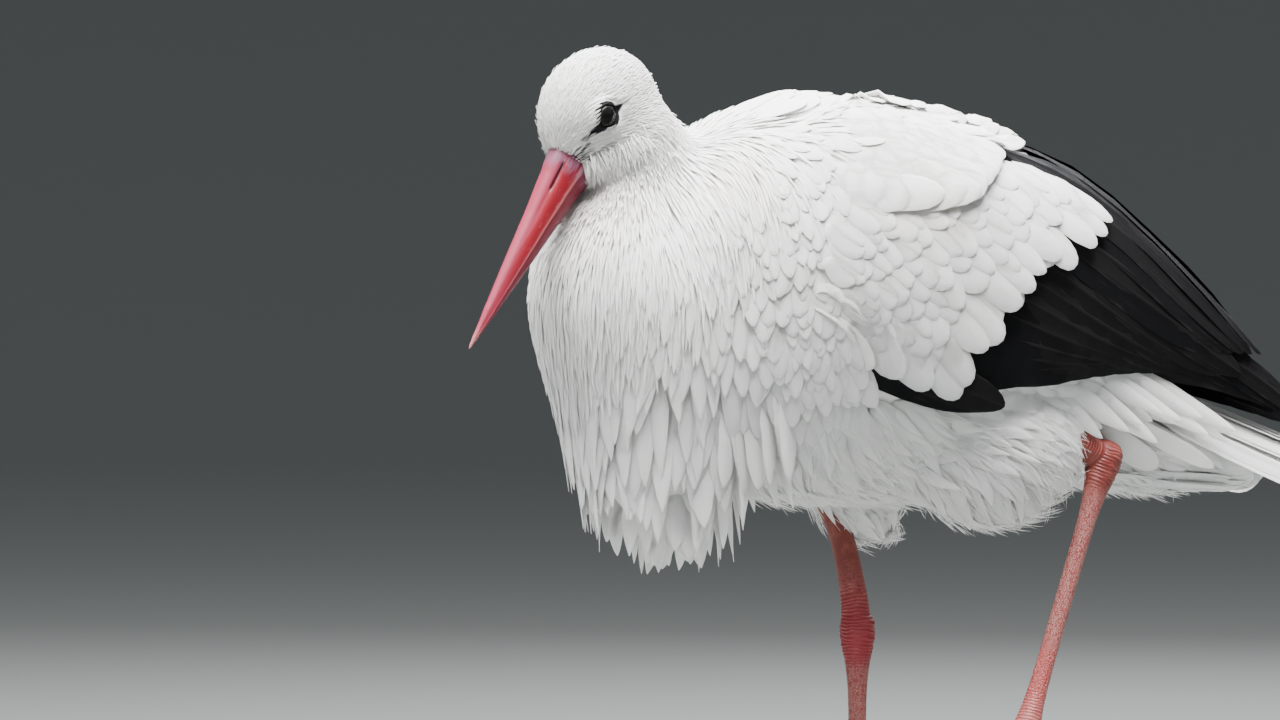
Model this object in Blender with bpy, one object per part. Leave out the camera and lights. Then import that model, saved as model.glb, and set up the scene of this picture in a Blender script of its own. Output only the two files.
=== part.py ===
"""A white stork (Ciconia ciconia), life-size, resting on its right leg with the left one drawn up.

The bird faces -Y, its left side is +X and +Z is up. The origin is on the floor, under the sole of the
standing foot. Sizes are in millimetres here, and the objects are made in metres. The feathered parts are
first joined into one form, which is then parted by thin planar cuts. Legs, toes, claws, bill, eyes, wings
and tail are lofts through named stations.
"""

import math

import bmesh
import bpy
import numpy as np
from mathutils import Vector

MM = 0.001

# --- Driving dimensions, in millimetres ---------------------------------------------------------------
GAP = 0.35  # clearance between neighbouring parts

BILL_LENGTH = 145.0
BILL_DEPTH = 36.0  # at the feathers, top to bottom
BILL_WIDTH = 27.0
BILL_DROP_DEG = 54.7  # how steeply the bill points down
HEAD_TURN_DEG = 10.0  # how far the head is turned to the bird's left
HEAD_CENTRE = np.array([5.0, -202.0, 558.0])
HEAD_HALF = np.array([47.0, 33.0, 41.0])  # half length, width and height of the feathered head
EYE_RADIUS = 8.5

STANDING_ANKLE = np.array([-18.0, 11.5, 212.0])
RAISED_ANKLE = np.array([50.0, 164.0, 326.0])
RAISED_FOOT = np.array([65.0, 89.0, 139.0])  # where the toes of the raised leg join
TARSUS_RADIUS = 6.3
ANKLE_RADIUS = 12.5
TOE_PAD_RADIUS = 12.0

TOE_LENGTHS = {"middle": 72.0, "inner": 54.0, "outer": 60.0, "hind": 27.0}
TOE_SPREAD_DEG = {"middle": 3.0, "inner": -36.0, "outer": 40.0, "hind": 172.0}  # outwards from straight ahead
TOE_RADIUS = 5.2
CLAW_LENGTH = 11.0
CLAW_RADIUS = 2.9
RAISED_TOE_CURL = 7.0  # how far the hanging toes curl towards the sole at their tips

UP = np.array([0.0, 0.0, 1.0])
SIDES = {"l": 1.0, "r": -1.0}


# --- Shared tools -------------------------------------------------------------------------------------
def empty_the_file():
    """Remove every object, so that the file holds only the stork."""
    for old in list(bpy.data.objects):
        bpy.data.objects.remove(old, do_unlink=True)


def finish_of(name, colour, roughness, metallic=0.0):
    """A plain Principled material."""
    material = bpy.data.materials.new(name)
    material.use_nodes = True
    shader = material.node_tree.nodes["Principled BSDF"]
    shader.inputs["Base Color"].default_value = (*colour, 1.0)
    shader.inputs["Roughness"].default_value = roughness
    shader.inputs["Metallic"].default_value = metallic
    return material


def unit(vector):
    """The vector's direction, with length 1."""
    vector = np.asarray(vector, float)
    return vector / np.linalg.norm(vector)


def through(keys, count):
    """Rows on a smooth Catmull-Rom curve through the key rows, evenly spaced in the keys' own numbering."""
    keys = np.asarray(keys, float)
    padded = np.vstack([2 * keys[0] - keys[1], keys, 2 * keys[-1] - keys[-2]])
    place = np.linspace(0.0, len(keys) - 1.0, count)
    first = np.minimum(place.astype(int), len(keys) - 2)
    t = (place - first)[:, None]
    a, b, c, d = (padded[first + k] for k in range(4))
    return 0.5 * (2 * b + (c - a) * t + (2 * a - 5 * b + 4 * c - d) * t**2 + (3 * b - a - 3 * c + d) * t**3)


def new_object(name, bm, material):
    """Put a finished bmesh into the scene, in flat triangles, so that its cutter has the same faces."""
    bmesh.ops.triangulate(bm, faces=bm.faces)
    bmesh.ops.recalc_face_normals(bm, faces=bm.faces)
    mesh = bpy.data.meshes.new(name)
    bm.to_mesh(mesh)
    bm.free()
    mesh.materials.append(material)
    mesh.shade_smooth()
    mesh.set_sharp_from_angle(angle=math.radians(50.0))
    made = bpy.data.objects.new(name, mesh)
    bpy.context.scene.collection.objects.link(made)
    return made


def loft(name, rings, material):
    """A closed solid through rings of points, an array of shape (rings, points, 3), with flat ends."""
    bm = bmesh.new()
    rows = [[bm.verts.new(Vector(point) * MM) for point in ring] for ring in rings]
    for lower, upper in zip(rows, rows[1:]):
        for k in range(len(lower)):
            after = (k + 1) % len(lower)
            bm.faces.new((lower[k], lower[after], upper[after], upper[k]))
    bm.faces.new(rows[0])
    bm.faces.new(rows[-1])
    return new_object(name, bm, material)


def tube(keys, count, around, ahead, floor=None, facing=None):
    """Rings along a path. A key is x, y, z, radius across, radius along `ahead`; points stay above `floor`.

    The rings stand square to the path, or all square to `facing` where it is given.
    """
    rows = through(keys, count)
    centres = rows[:, :3]
    tangents = np.gradient(centres, axis=0) if facing is None else np.tile(facing, (count, 1))
    tangents /= np.linalg.norm(tangents, axis=1)[:, None]
    across = np.cross(tangents, ahead)
    across /= np.linalg.norm(across, axis=1)[:, None]
    front = np.cross(across, tangents)
    turn = (np.arange(around) + 0.5) * math.tau / around
    rings = (
        centres[:, None]
        + rows[:, 3, None, None] * across[:, None] * np.cos(turn)[None, :, None]
        + rows[:, 4, None, None] * front[:, None] * np.sin(turn)[None, :, None]
    )
    if floor is not None:
        rings[..., 2] = np.maximum(rings[..., 2], floor)
    return rings


def barrel(keys, count, around, squareness=2.2):
    """Upright rings along Y. A key is y, x of the middle, top, widest level, bottom, half width."""
    rows = through(keys, count)
    turn = (np.arange(around) + 0.5) * math.tau / around
    cos, sin = np.cos(turn), np.sin(turn)
    bulge = 2.0 / squareness
    side = np.sign(cos) * np.abs(cos) ** bulge
    rise = np.sign(sin) * np.abs(sin) ** bulge
    y, x, top, mid, bottom, half = (rows[:, k, None] for k in range(6))
    height = np.where(rise > 0, top - mid, mid - bottom) * rise
    return np.stack([x + half * side, y + 0 * side, mid + height], axis=-1)


def column(keys, count, around):
    """Level rings along Z. A key is z, y of the middle, half width, half length."""
    rows = through(keys, count)
    turn = (np.arange(around) + 0.5) * math.tau / around
    z, y, half_wide, half_long = (rows[:, k, None] for k in range(4))
    return np.stack([half_wide * np.cos(turn), y + half_long * np.sin(turn), z + 0 * turn], axis=-1)


def ball(centre, axes, around=20, rows=11):
    """Rings of an ellipsoid, stacked along the first of its three half-axis vectors."""
    polar = np.linspace(0.06, math.pi - 0.06, rows)[:, None, None]
    turn = (np.arange(around) * math.tau / around)[None, :, None]
    along, across, up = (np.asarray(axis, float) for axis in axes)
    return centre - along * np.cos(polar) + np.sin(polar) * (across * np.cos(turn) + up * np.sin(turn))


def slab(name, outer, inner, material):
    """A closed curved plate between two grids of points of one shape, (rows, columns, 3)."""
    bm = bmesh.new()
    rows, columns = outer.shape[:2]
    front = [[bm.verts.new(Vector(point) * MM) for point in row] for row in outer]
    back = [[bm.verts.new(Vector(point) * MM) for point in row] for row in inner]
    for i in range(rows - 1):
        for j in range(columns - 1):
            bm.faces.new((front[i][j], front[i][j + 1], front[i + 1][j + 1], front[i + 1][j]))
            bm.faces.new((back[i][j], back[i + 1][j], back[i + 1][j + 1], back[i][j + 1]))
    rim = [(0, j) for j in range(columns)] + [(i, columns - 1) for i in range(1, rows)]
    rim += [(rows - 1, j) for j in range(columns - 2, -1, -1)] + [(i, 0) for i in range(rows - 2, 0, -1)]
    for (i, j), (m, n) in zip(rim, rim[1:] + rim[:1]):
        bm.faces.new((front[i][j], back[i][j], back[m][n], front[m][n]))
    return new_object(name, bm, material)


def settle(obj):
    """Replace an object's mesh by what its modifiers make of it."""
    graph = bpy.context.evaluated_depsgraph_get()
    mesh = bpy.data.meshes.new_from_object(obj.evaluated_get(graph))
    obj.modifiers.clear()
    obj.data = mesh


def copy_of(obj, name):
    """A second object with a mesh of its own."""
    twin = obj.copy()
    twin.data = obj.data.copy()
    twin.name = name
    bpy.context.scene.collection.objects.link(twin)
    return twin


def remove(*objects):
    """Take helpers out of the scene again."""
    for obj in objects:
        bpy.data.objects.remove(obj, do_unlink=True)


def grown(obj, amount=GAP):
    """A cutter: a copy of the object with every face moved out by `amount` millimetres."""
    cutter = copy_of(obj, obj.name + ".cutter")
    bm = bmesh.new()
    bm.from_mesh(cutter.data)
    bm.normal_update()
    moves = [vert.normal * (amount * MM * min(vert.calc_shell_factor(), 2.0)) for vert in bm.verts]
    for vert, move in zip(bm.verts, moves):
        vert.co += move
    bm.to_mesh(cutter.data)
    bm.free()
    return cutter


def combine(obj, cutter, operation):
    """Apply one exact Boolean to the object, then drop the cutter."""
    cut = obj.modifiers.new("cut", "BOOLEAN")
    cut.operation = operation
    cut.solver = "EXACT"
    cut.object = cutter
    settle(obj)
    remove(cutter)


def cut_clear_of(obj, *neighbours):
    """Cut the neighbours out of the object, with the clearance between them."""
    for neighbour in neighbours:
        combine(obj, grown(neighbour), "DIFFERENCE")


def keep_side(obj, point, normal):
    """Keep what lies on the side of a plane that its normal points to, half the clearance off it."""
    normal = unit(normal)
    bm = bmesh.new()
    bm.from_mesh(obj.data)
    place = (np.asarray(point, float) + normal * GAP / 2) * MM
    everything = bm.verts[:] + bm.edges[:] + bm.faces[:]
    bmesh.ops.bisect_plane(bm, geom=everything, plane_co=place, plane_no=normal, clear_inner=True)
    open_edges = [edge for edge in bm.edges if edge.is_boundary]
    bmesh.ops.holes_fill(bm, edges=open_edges)
    bmesh.ops.recalc_face_normals(bm, faces=bm.faces)
    bm.to_mesh(obj.data)
    bm.free()


def thinned(obj, name, share):
    """A copy of the object with a share of its faces."""
    copy = copy_of(obj, name)
    fewer = copy.modifiers.new("fewer faces", "DECIMATE")
    fewer.ratio = share
    settle(copy)
    return copy


empty_the_file()
white_down = finish_of("white_down", (0.86, 0.84, 0.81), 0.85)
black_vane = finish_of("black_vane", (0.015, 0.014, 0.016), 0.45)
coral_horn = finish_of("coral_horn", (0.62, 0.13, 0.10), 0.38)
red_scale = finish_of("red_scale", (0.50, 0.12, 0.10), 0.6)
dark_claw = finish_of("dark_claw", (0.10, 0.06, 0.05), 0.5)
dark_eye = finish_of("dark_eye", (0.01, 0.01, 0.012), 0.08)


# --- The feathered form: trunk, breast ruff, neck and head in one ------------------------------------
turn, drop = math.radians(HEAD_TURN_DEG), math.radians(BILL_DROP_DEG)
HEAD_AHEAD = np.array([math.sin(turn), -math.cos(turn), 0.0])
HEAD_SIDE = np.array([math.cos(turn), math.sin(turn), 0.0])
BILL_AXIS = math.cos(drop) * HEAD_AHEAD - math.sin(drop) * UP
BILL_UP = math.sin(drop) * HEAD_AHEAD + math.cos(drop) * UP
BILL_BASE = HEAD_CENTRE + 44.0 * BILL_AXIS - 2.0 * BILL_UP

TRUNK_KEYS = [  # y, x, top, widest level, bottom, half width
    (-185, 0, 490, 430, 335, 56),
    (-150, 0, 530, 435, 305, 82),
    (-105, 0, 558, 440, 300, 97),
    (-52, 0, 571, 440, 302, 101),
    (0, 0, 562, 440, 300, 100),
    (60, 0, 545, 440, 298, 94),
    (115, 0, 521, 432, 302, 79),
    (160, 0, 493, 418, 320, 62),
    (200, 0, 452, 404, 344, 42),
    (232, 0, 415, 392, 370, 18),
]
RUFF_KEYS = [  # z, y of the middle, half width, half length
    (256, -146, 24, 18),
    (264, -150, 42, 36),
    (285, -153, 55, 48),
    (320, -155, 64, 55),
    (360, -158, 73, 64),
    (400, -161, 79, 73),
    (433, -162, 80, 79),
    (465, -166, 70, 72),
    (495, -168, 52, 54),
    (515, -170, 40, 42),
]
NECK_KEYS = [  # x, y, z, half width, half depth
    (0, -118, 455, 60, 56),
    (0, -150, 495, 45, 48),
    (1, -171, 522, 38, 41),
    (3, -190, 548, 35, 38),
    (5, -200, 572, 24, 28),
]

head_long = math.cos(math.radians(32)) * HEAD_AHEAD - math.sin(math.radians(32)) * UP
head_tall = math.sin(math.radians(32)) * HEAD_AHEAD + math.cos(math.radians(32)) * UP
head_axes = (HEAD_HALF[0] * head_long, HEAD_HALF[1] * HEAD_SIDE, HEAD_HALF[2] * head_tall)
face_axes = (30 * BILL_AXIS, 22 * HEAD_SIDE, 25 * BILL_UP)

form = loft("form", barrel(TRUNK_KEYS, 22, 32), white_down)
pieces = [
    loft("ruff_form", column(RUFF_KEYS, 20, 28), white_down),
    loft("neck_form", tube(NECK_KEYS, 12, 24, (0.0, -1.0, 0.4)), white_down),
    loft("head_form", ball(HEAD_CENTRE, head_axes, 28, 17), white_down),
    loft("face_form", ball(BILL_BASE - 16 * BILL_AXIS, face_axes, 24, 13), white_down),
]
with bpy.context.temp_override(active_object=form, selected_editable_objects=[form, *pieces]):
    bpy.ops.object.join()

remesh = form.modifiers.new("one skin", "REMESH")
remesh.mode = "VOXEL"
remesh.voxel_size = 6 * MM
soften = form.modifiers.new("soften", "SMOOTH")
soften.factor = 0.5
soften.iterations = 5
settle(form)

# The planes that part the form: each is a point and the direction towards the head.
AT_BILL = (BILL_BASE, BILL_AXIS)
UNDER_HEAD = ((0.0, -176.0, 535.0), (0.0, -0.66, 0.75))
UNDER_NECK = ((0.0, -140.0, 545.0), (0.0, -0.68, 0.73))
BEHIND_RUFF = ((0.0, -110.0, 430.0), (0.0, -0.995, -0.10))


def before(plane):
    """The plane with its kept side turned towards the head."""
    return plane


def behind(plane):
    """The plane with its kept side turned away from the head."""
    return plane[0], tuple(-part for part in plane[1])


def parted(name, share, planes):
    """The part of the form that lies between the planes."""
    piece = thinned(form, name, share)
    for point, normal in planes:
        keep_side(piece, point, normal)
    return piece


head = parted("head", 0.16, [behind(AT_BILL), before(UNDER_HEAD)])
neck = parted("neck", 0.12, [behind(UNDER_HEAD), before(UNDER_NECK)])
ruff = parted("breast_ruff", 0.08, [behind(UNDER_NECK), before(BEHIND_RUFF)])
trunk = parted("trunk", 0.065, [behind(UNDER_NECK), behind(BEHIND_RUFF)])
trunk_whole = copy_of(trunk, "trunk_whole")
remove(form)


# --- Bill: one tapering cone, parted along the line of the mouth --------------------------------------
BILL_KEYS = [  # share of the length, share of the half depth, share of the half width
    (0.00, 1.00, 1.00),
    (0.10, 0.88, 0.86),
    (0.30, 0.68, 0.66),
    (0.55, 0.47, 0.47),
    (0.80, 0.24, 0.27),
    (0.94, 0.10, 0.12),
    (1.00, 0.03, 0.04),
]
bill_rows = through(BILL_KEYS, 9)
bill_path = BILL_BASE + (GAP + (BILL_LENGTH - GAP) * bill_rows[:, :1]) * BILL_AXIS
bill_turn = ((np.arange(14) + 0.5) * math.tau / 14)[None, :, None]
bill_rings = (
    bill_path[:, None]
    + BILL_WIDTH / 2 * bill_rows[:, 2, None, None] * HEAD_SIDE * np.cos(bill_turn)
    + BILL_DEPTH / 2 * bill_rows[:, 1, None, None] * BILL_UP * np.sin(bill_turn)
)
bill_upper = loft("bill_upper", bill_rings, coral_horn)
bill_lower = copy_of(bill_upper, "bill_lower")
MOUTH = (BILL_BASE - 2.0 * BILL_UP, unit(BILL_UP - 0.012 * BILL_AXIS))
keep_side(bill_upper, *before(MOUTH))
keep_side(bill_lower, *behind(MOUTH))


# --- Eyes: dark balls, sunk into the sides of the head ------------------------------------------------
for side, sign in SIDES.items():
    eye_at = HEAD_CENTRE + 16.0 * HEAD_AHEAD + sign * 26.0 * HEAD_SIDE - 4.5 * UP
    eye_axes = (EYE_RADIUS * HEAD_SIDE, EYE_RADIUS * HEAD_AHEAD, EYE_RADIUS * UP)
    eye = loft(f"eye_{side}", ball(eye_at, eye_axes, 10, 6), dark_eye)
    cut_clear_of(head, eye)


# --- Wings: folded plates over the sides, white coverts in front and black flight feathers behind -----
WING_KEYS = [  # y, x of the upper edge, level of the back, widest level, lower edge, half width, thickness
    (-82, 62, 567, 442, 432, 101, 6),
    (-58, 48, 576, 440, 402, 106, 10),
    (-20, 28, 574, 440, 374, 108, 13),
    (30, 12, 565, 440, 356, 107, 13),
    (80, 2, 551, 437, 364, 101, 13),
    (130, 0.8, 537, 430, 374, 87, 12),
    (175, 0.8, 516, 420, 381, 69, 11),
    (220, 0.8, 482, 408, 384, 53, 9),
    (265, 0.8, 446, 391, 375, 40, 7),
    (310, 0.8, 405, 371, 360, 29, 5),
    (345, 0.8, 369, 354, 346, 20, 3),
    (360, 2, 354, 347, 343, 13, 1.6),
]
WING_LOW_DEG = 30.0  # how far below its widest level the folded wing curls in under the flank
COVERTS_OUTLINE = [(-110, 391), (56, 391), (165, 490), (72, 562), (72, 640), (-110, 640)]  # y, z


def wing_plate(sign, squareness=2.2, rows=15, columns=8):
    """The outer and inner grids of one folded wing, which hugs the body from the back down the side."""
    y, x_top, top, mid, low, half, thick = (through(WING_KEYS, rows)[:, k, None] for k in range(7))
    bulge = 2.0 / squareness
    start = np.arccos((x_top / half) ** (1 / bulge))
    turn = start + (-math.radians(WING_LOW_DEG) - start) * np.linspace(0.0, 1.0, columns)[None, :]
    height = np.where(turn > 0, top - mid, (mid - low) / math.sin(math.radians(WING_LOW_DEG)) ** bulge)
    rise = np.sign(turn) * np.abs(np.sin(turn)) ** bulge
    outer = np.stack([half * np.cos(turn) ** bulge, y + 0 * turn, mid + height * rise], -1)
    along = np.gradient(outer, axis=1)
    inward = np.stack([along[..., 2], 0 * turn, -along[..., 0]], -1)
    inward /= np.linalg.norm(inward, axis=-1, keepdims=True)
    rim = np.ones(columns)
    rim[[0, -1]] = 0.5
    inner = outer + inward * (thick * rim)[..., None]
    inner[..., 0] = np.maximum(inner[..., 0], 0.5)
    flip = np.array([sign, 1.0, 1.0])
    return outer * flip, inner * flip


def prism(name, outline, half_width):
    """A block with an outline in the YZ plane, reaching `half_width` to both sides."""
    rings = [[(x, y, z) for y, z in outline] for x in (-half_width, half_width)]
    return loft(name, rings, white_down)


wings = []
for side, sign in SIDES.items():
    coverts = slab(f"wing_coverts_{side}", *wing_plate(sign), white_down)
    flight = copy_of(coverts, f"wing_flight_{side}")
    flight.data.materials[0] = black_vane
    cut_clear_of(trunk, coverts)
    outline = prism("coverts_outline", COVERTS_OUTLINE, 150)
    cut_clear_of(flight, outline)
    combine(coverts, outline, "INTERSECT")
    wings += [coverts, flight]


# --- Tail: a shallow roof of long feathers, with soft coverts under it --------------------------------
TAIL_KEYS = [  # y, z of the ridge, half width, drop to the edge, thickness
    (150, 410, 24, 6, 14),
    (200, 393, 32, 14, 14),
    (250, 373, 37, 20, 11),
    (300, 355, 41, 25, 8),
    (340, 341, 42, 27, 5),
    (358, 334, 36, 22, 2.5),
]
tail_rows = through(TAIL_KEYS, 8)
ty, tz, half, droop, thick = (tail_rows[:, k, None] for k in range(5))
share = np.linspace(-1.0, 1.0, 7)[None, :]
tail_top = np.stack([half * share, ty + 0 * share, tz - droop * share**2], -1)
tail_under = tail_top - np.stack([0 * half * share, 0 * half * share, thick * (1 - 0.6 * share**2)], -1)
tail = slab("tail", tail_top, tail_under, white_down)
cut_clear_of(tail, trunk_whole)

UNDERTAIL_KEYS = [  # y, x, top, widest level, bottom, half width
    (112, 0, 380, 350, 318, 38),
    (155, 0, 374, 345, 311, 37),
    (200, 0, 364, 336, 305, 37),
    (235, 0, 355, 331, 303, 32),
    (265, 0, 345, 327, 306, 21),
    (286, 0, 336, 324, 312, 8),
]
undertail = loft("undertail_coverts", barrel(UNDERTAIL_KEYS, 8, 12), white_down)
cut_clear_of(undertail, trunk_whole, tail)


# --- Legs: feathered thigh, bare shank, ankle and tarsus in one, toes and claws -----------------------
AHEAD = np.array([0.0, -1.0, 0.0])
THIGH_KEYS = {
    "r": [  # x, y, z, half width, half length of the standing leg's thigh
        (-46, 4, 385, 34, 44),
        (-40, 13, 340, 36, 44),
        (-34, 22, 305, 31, 36),
        (-30, 26, 286, 22, 27),
        (-29, 29, 275, 11, 15),
    ],
    "l": [  # the same for the raised leg, which lies along the belly
        (42, 8, 352, 22, 18),
        (44, 38, 339, 33, 46),
        (46, 74, 336, 36, 54),
        (48, 106, 337, 32, 47),
        (50, 128, 340, 22, 30),
        (51, 140, 342, 9, 12),
    ],
}
SHANK_KEYS = {
    "r": [(-38, -10, 320, 9, 9), (-29, 5, 277, 8.2, 8.2), (-21, 10, 238, 9.3, 9.8), (-18, 11.5, 214, 7.5, 9)],
    "l": [(48, 80, 368, 9, 9), (49, 113, 355, 9, 9.5), (50, 142, 339, 9.3, 10), (50, 161, 329, 7.5, 9)],
}
TOE_ROOT = {"r": np.array([0.0, 0.0, 9.0]), "l": RAISED_FOOT}
ANKLES = {"r": STANDING_ANKLE, "l": RAISED_ANKLE}


def tarsus_rings(side):
    """The ankle's swelling, the long round shank under it, and the swelling where the toes join."""
    ankle, foot = ANKLES[side], TOE_ROOT[side]
    down = unit(foot - ankle)
    reach = np.linalg.norm(foot - ankle)
    stations = [  # distance below the ankle, radius across, radius ahead
        (-13.0, 5.0, 6.0),
        (-9.0, 10.0, 11.0),
        (0.0, 11.5, ANKLE_RADIUS),
        (12.0, 9.5, 11.0),
        (26.0, 7.0, 8.0),
        (55.0, TARSUS_RADIUS, TARSUS_RADIUS),
        (reach - 60.0, TARSUS_RADIUS, TARSUS_RADIUS),
        (reach - 28.0, 7.2, 7.2),
        (reach - 10.0, 10.0, 9.5),
        (reach, TOE_PAD_RADIUS, 11.0),
        (reach + 10.5, 8.0, 8.0),
    ]
    keys = [(*(ankle + distance * down), wide, deep) for distance, wide, deep in stations]
    return tube(keys, 17, 10, AHEAD, floor=0.0 if side == "r" else None)


def toe_frame(side, toe):
    """Where a toe starts, and its directions along and up."""
    spread = math.radians(TOE_SPREAD_DEG[toe]) * SIDES[side]
    if side == "r":
        along = np.array([math.sin(spread), -math.cos(spread), 0.0])
        return TOE_ROOT[side] + 4.0 * along, along, UP
    fold = -1.0 if toe == "hind" else 1.0
    spread = 0.45 * spread if toe != "hind" else 0.1
    hang = unit((math.sin(spread), -0.10 * fold + (0.62 if toe == "hind" else 0.0), -1.0))
    top = unit(np.cross(np.cross(hang, -fold * AHEAD), hang)) * -1.0
    return RAISED_FOOT + 3.0 * hang, hang, top


def digit_rings(side, toe):
    """Rings of a toe, swollen at each joint, and then of its blunt claw, as two arrays."""
    root, along, top = toe_frame(side, toe)
    length = TOE_LENGTHS[toe]
    toe_steps = np.linspace(0.0, length, max(4, round(length / 10.0) + 1))
    claw_steps = length + GAP + np.array([0.0, 0.5, 1.0]) * CLAW_LENGTH
    steps = np.concatenate([toe_steps, claw_steps])
    share = steps / length
    joints = 0.5 + 0.5 * np.cos(share * math.tau * (2 if toe == "hind" else 3))
    radius = TOE_RADIUS * (1.0 - 0.34 * share) * (0.90 + 0.12 * joints)
    radius[-3:] = CLAW_RADIUS * np.array([1.0, 0.72, 0.22])
    centres = root + steps[:, None] * along
    if side == "r":
        centres[:, 2] = 0.86 * radius - 0.2 + 3.0 * np.clip(1.0 - share / 0.3, 0.0, 1.0)
        centres[-3:, 2] += np.array([0.9, 0.6, 0.0])
    else:
        centres -= (RAISED_TOE_CURL * share**2)[:, None] * top
    keys = np.column_stack([centres, radius, radius])
    rings = tube(keys, len(keys), 8, top, floor=0.0 if side == "r" else None, facing=along)
    return rings[:-3], rings[-3:]


for side in SIDES:
    ahead = AHEAD if side == "r" else UP
    thigh = loft(f"thigh_{side}", tube(THIGH_KEYS[side], 8, 12, ahead), white_down)
    thigh_whole = copy_of(thigh, "thigh_whole")
    cut_clear_of(thigh, trunk_whole, undertail, *[wing for wing in wings if wing.name.endswith(side)])
    tarsus = loft(f"tarsus_{side}", tarsus_rings(side), red_scale)
    shank = loft(f"shank_{side}", tube(SHANK_KEYS[side], 7, 10, ahead), red_scale)
    cut_clear_of(shank, trunk_whole, thigh_whole, tarsus)
    remove(thigh_whole)
    toes = []
    for toe in TOE_LENGTHS:
        toe_part, claw_part = digit_rings(side, toe)
        made = loft(f"toe_{toe}_{side}", toe_part, red_scale)
        cut_clear_of(made, tarsus, *toes)
        toes.append(made)
        loft(f"claw_{toe}_{side}", claw_part, dark_claw)

remove(trunk_whole)
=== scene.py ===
"""A white stork as a still, life-size museum model, resting on its right leg: the finished surfaces.

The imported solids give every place. One skin stands for the flesh and carries a coat of solid feathers: tufts,
vanes and quills. Bill, eyes, legs and claws are surfaces of their own. Metres, +Z up, the bird faces -Y.
"""

import math

import bmesh
import bpy
import numpy as np
from mathutils import Matrix
from mathutils.bvhtree import BVHTree


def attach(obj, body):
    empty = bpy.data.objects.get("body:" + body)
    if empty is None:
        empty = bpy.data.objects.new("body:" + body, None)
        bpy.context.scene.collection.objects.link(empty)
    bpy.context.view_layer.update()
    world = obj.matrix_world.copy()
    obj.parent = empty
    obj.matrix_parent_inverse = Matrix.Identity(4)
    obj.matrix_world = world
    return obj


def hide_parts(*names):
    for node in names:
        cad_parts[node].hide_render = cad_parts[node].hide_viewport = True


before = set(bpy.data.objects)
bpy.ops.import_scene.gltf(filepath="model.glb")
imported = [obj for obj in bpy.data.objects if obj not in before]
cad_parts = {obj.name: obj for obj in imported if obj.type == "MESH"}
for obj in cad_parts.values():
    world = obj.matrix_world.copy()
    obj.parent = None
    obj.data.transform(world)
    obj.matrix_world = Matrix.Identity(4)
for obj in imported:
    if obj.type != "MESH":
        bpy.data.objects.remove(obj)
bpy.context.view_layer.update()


# --- Studio: a pale floor, soft lamps and the camera ---------------------------------------------------
# The floor is a wide disc that bends up into a round wall far behind the lamps, so that no edge shows. A
# broad lamp hangs overhead, a second one stands in front on the bird's left and a third behind it on the
# right, and the sky gives an even fill.
FLOOR_AROUND = 96  # corners round the disc
FLOOR_FLAT = 13.0
WALL_BEND = 10.0
WALL_TOP = 13.0
FLOOR_GREY = (0.165, 0.175, 0.17)
SKY_GREY = (0.91, 0.96, 1.0)
SKY_STRENGTH = 0.52
CAMERA_AT = (4.1711, -2.5753, 0.444)
CAMERA_LOOKS_AT = (-0.07235, -0.12531, 0.394)
CAMERA_LENS = 206.7
CAMERA_SENSOR = 36.0
LAMPS = {  # place, where it points, width, watts, colour
    "overhead": ((0.25, -0.45, 2.7), (0.0, -0.05, 0.45), 2.2, 600.0, (1.0, 0.985, 0.975)),
    "front_left": ((3.2, -3.0, 1.9), (0.0, -0.05, 0.40), 1.8, 42.0, (1.0, 0.985, 0.97)),
    "behind": ((-2.4, 2.2, 2.2), (0.0, 0.05, 0.45), 1.4, 100.0, (0.95, 0.98, 1.0)),
}


def aim(thing, place, target):
    """Put a lamp or camera at a place, with its -Z axis towards the target and +Y up."""
    back = np.subtract(place, target)
    back = back / np.linalg.norm(back)
    side = np.cross((0.0, 0.0, 1.0), back)
    side = side / np.linalg.norm(side)
    up = np.cross(back, side)
    rows = [[*row, at] for row, at in zip(np.stack([side, up, back], 1), place)]
    thing.matrix_world = Matrix([*rows, [0.0, 0.0, 0.0, 1.0]])
    bpy.context.scene.collection.objects.link(thing)


def turned(profile, count):
    """A profile of (radius, height) rows carried round the Z axis: the corners' grid and its quads."""
    turn = np.arange(count) * math.tau / count
    radius, height = profile[:, :1], profile[:, 1:]
    grid = np.stack([radius * np.cos(turn), radius * np.sin(turn), height + 0 * turn], -1)
    row, step = np.meshgrid(np.arange(len(profile) - 1), np.arange(count), indexing="ij")
    after = (step + 1) % count
    quads = np.stack([row * count + step, (row + 1) * count + step, (row + 1) * count + after], -1)
    quads = np.concatenate([quads, (row * count + after)[..., None]], -1)
    return grid.reshape(-1, 3), quads.reshape(-1, 4)[:, ::-1]


def paint(name, colour, roughness, **settings):
    """A new Principled material with plain values: the material and its shader."""
    material = bpy.data.materials.new(name)
    material.use_nodes = True
    shader = material.node_tree.nodes["Principled BSDF"]
    shader.inputs["Base Color"].default_value = (*colour, 1.0)
    shader.inputs["Roughness"].default_value = roughness
    for socket, value in settings.items():
        shader.inputs[socket.replace("_", " ")].default_value = value
    return material, shader


bend = np.linspace(0.0, math.pi / 2, 17)
curve = np.stack([FLOOR_FLAT + WALL_BEND * np.sin(bend), WALL_BEND * (1.0 - np.cos(bend))], 1)
wall_top = [[FLOOR_FLAT + WALL_BEND, WALL_TOP]]
flat = [[0.01, 0.0], [1.0, 0.0], [4.0, 0.0]]
floor_points, floor_quads = turned(np.vstack([flat, curve, wall_top]), FLOOR_AROUND)
floor_mesh = bpy.data.meshes.new("floor")
floor_mesh.from_pydata(floor_points.tolist(), [], floor_quads.tolist() + [list(range(FLOOR_AROUND))])
floor_mesh.shade_smooth()
floor_mesh.materials.append(paint("floor_paint", FLOOR_GREY, 0.9)[0])
floor = bpy.data.objects.new("floor", floor_mesh)
bpy.context.scene.collection.objects.link(floor)

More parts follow.
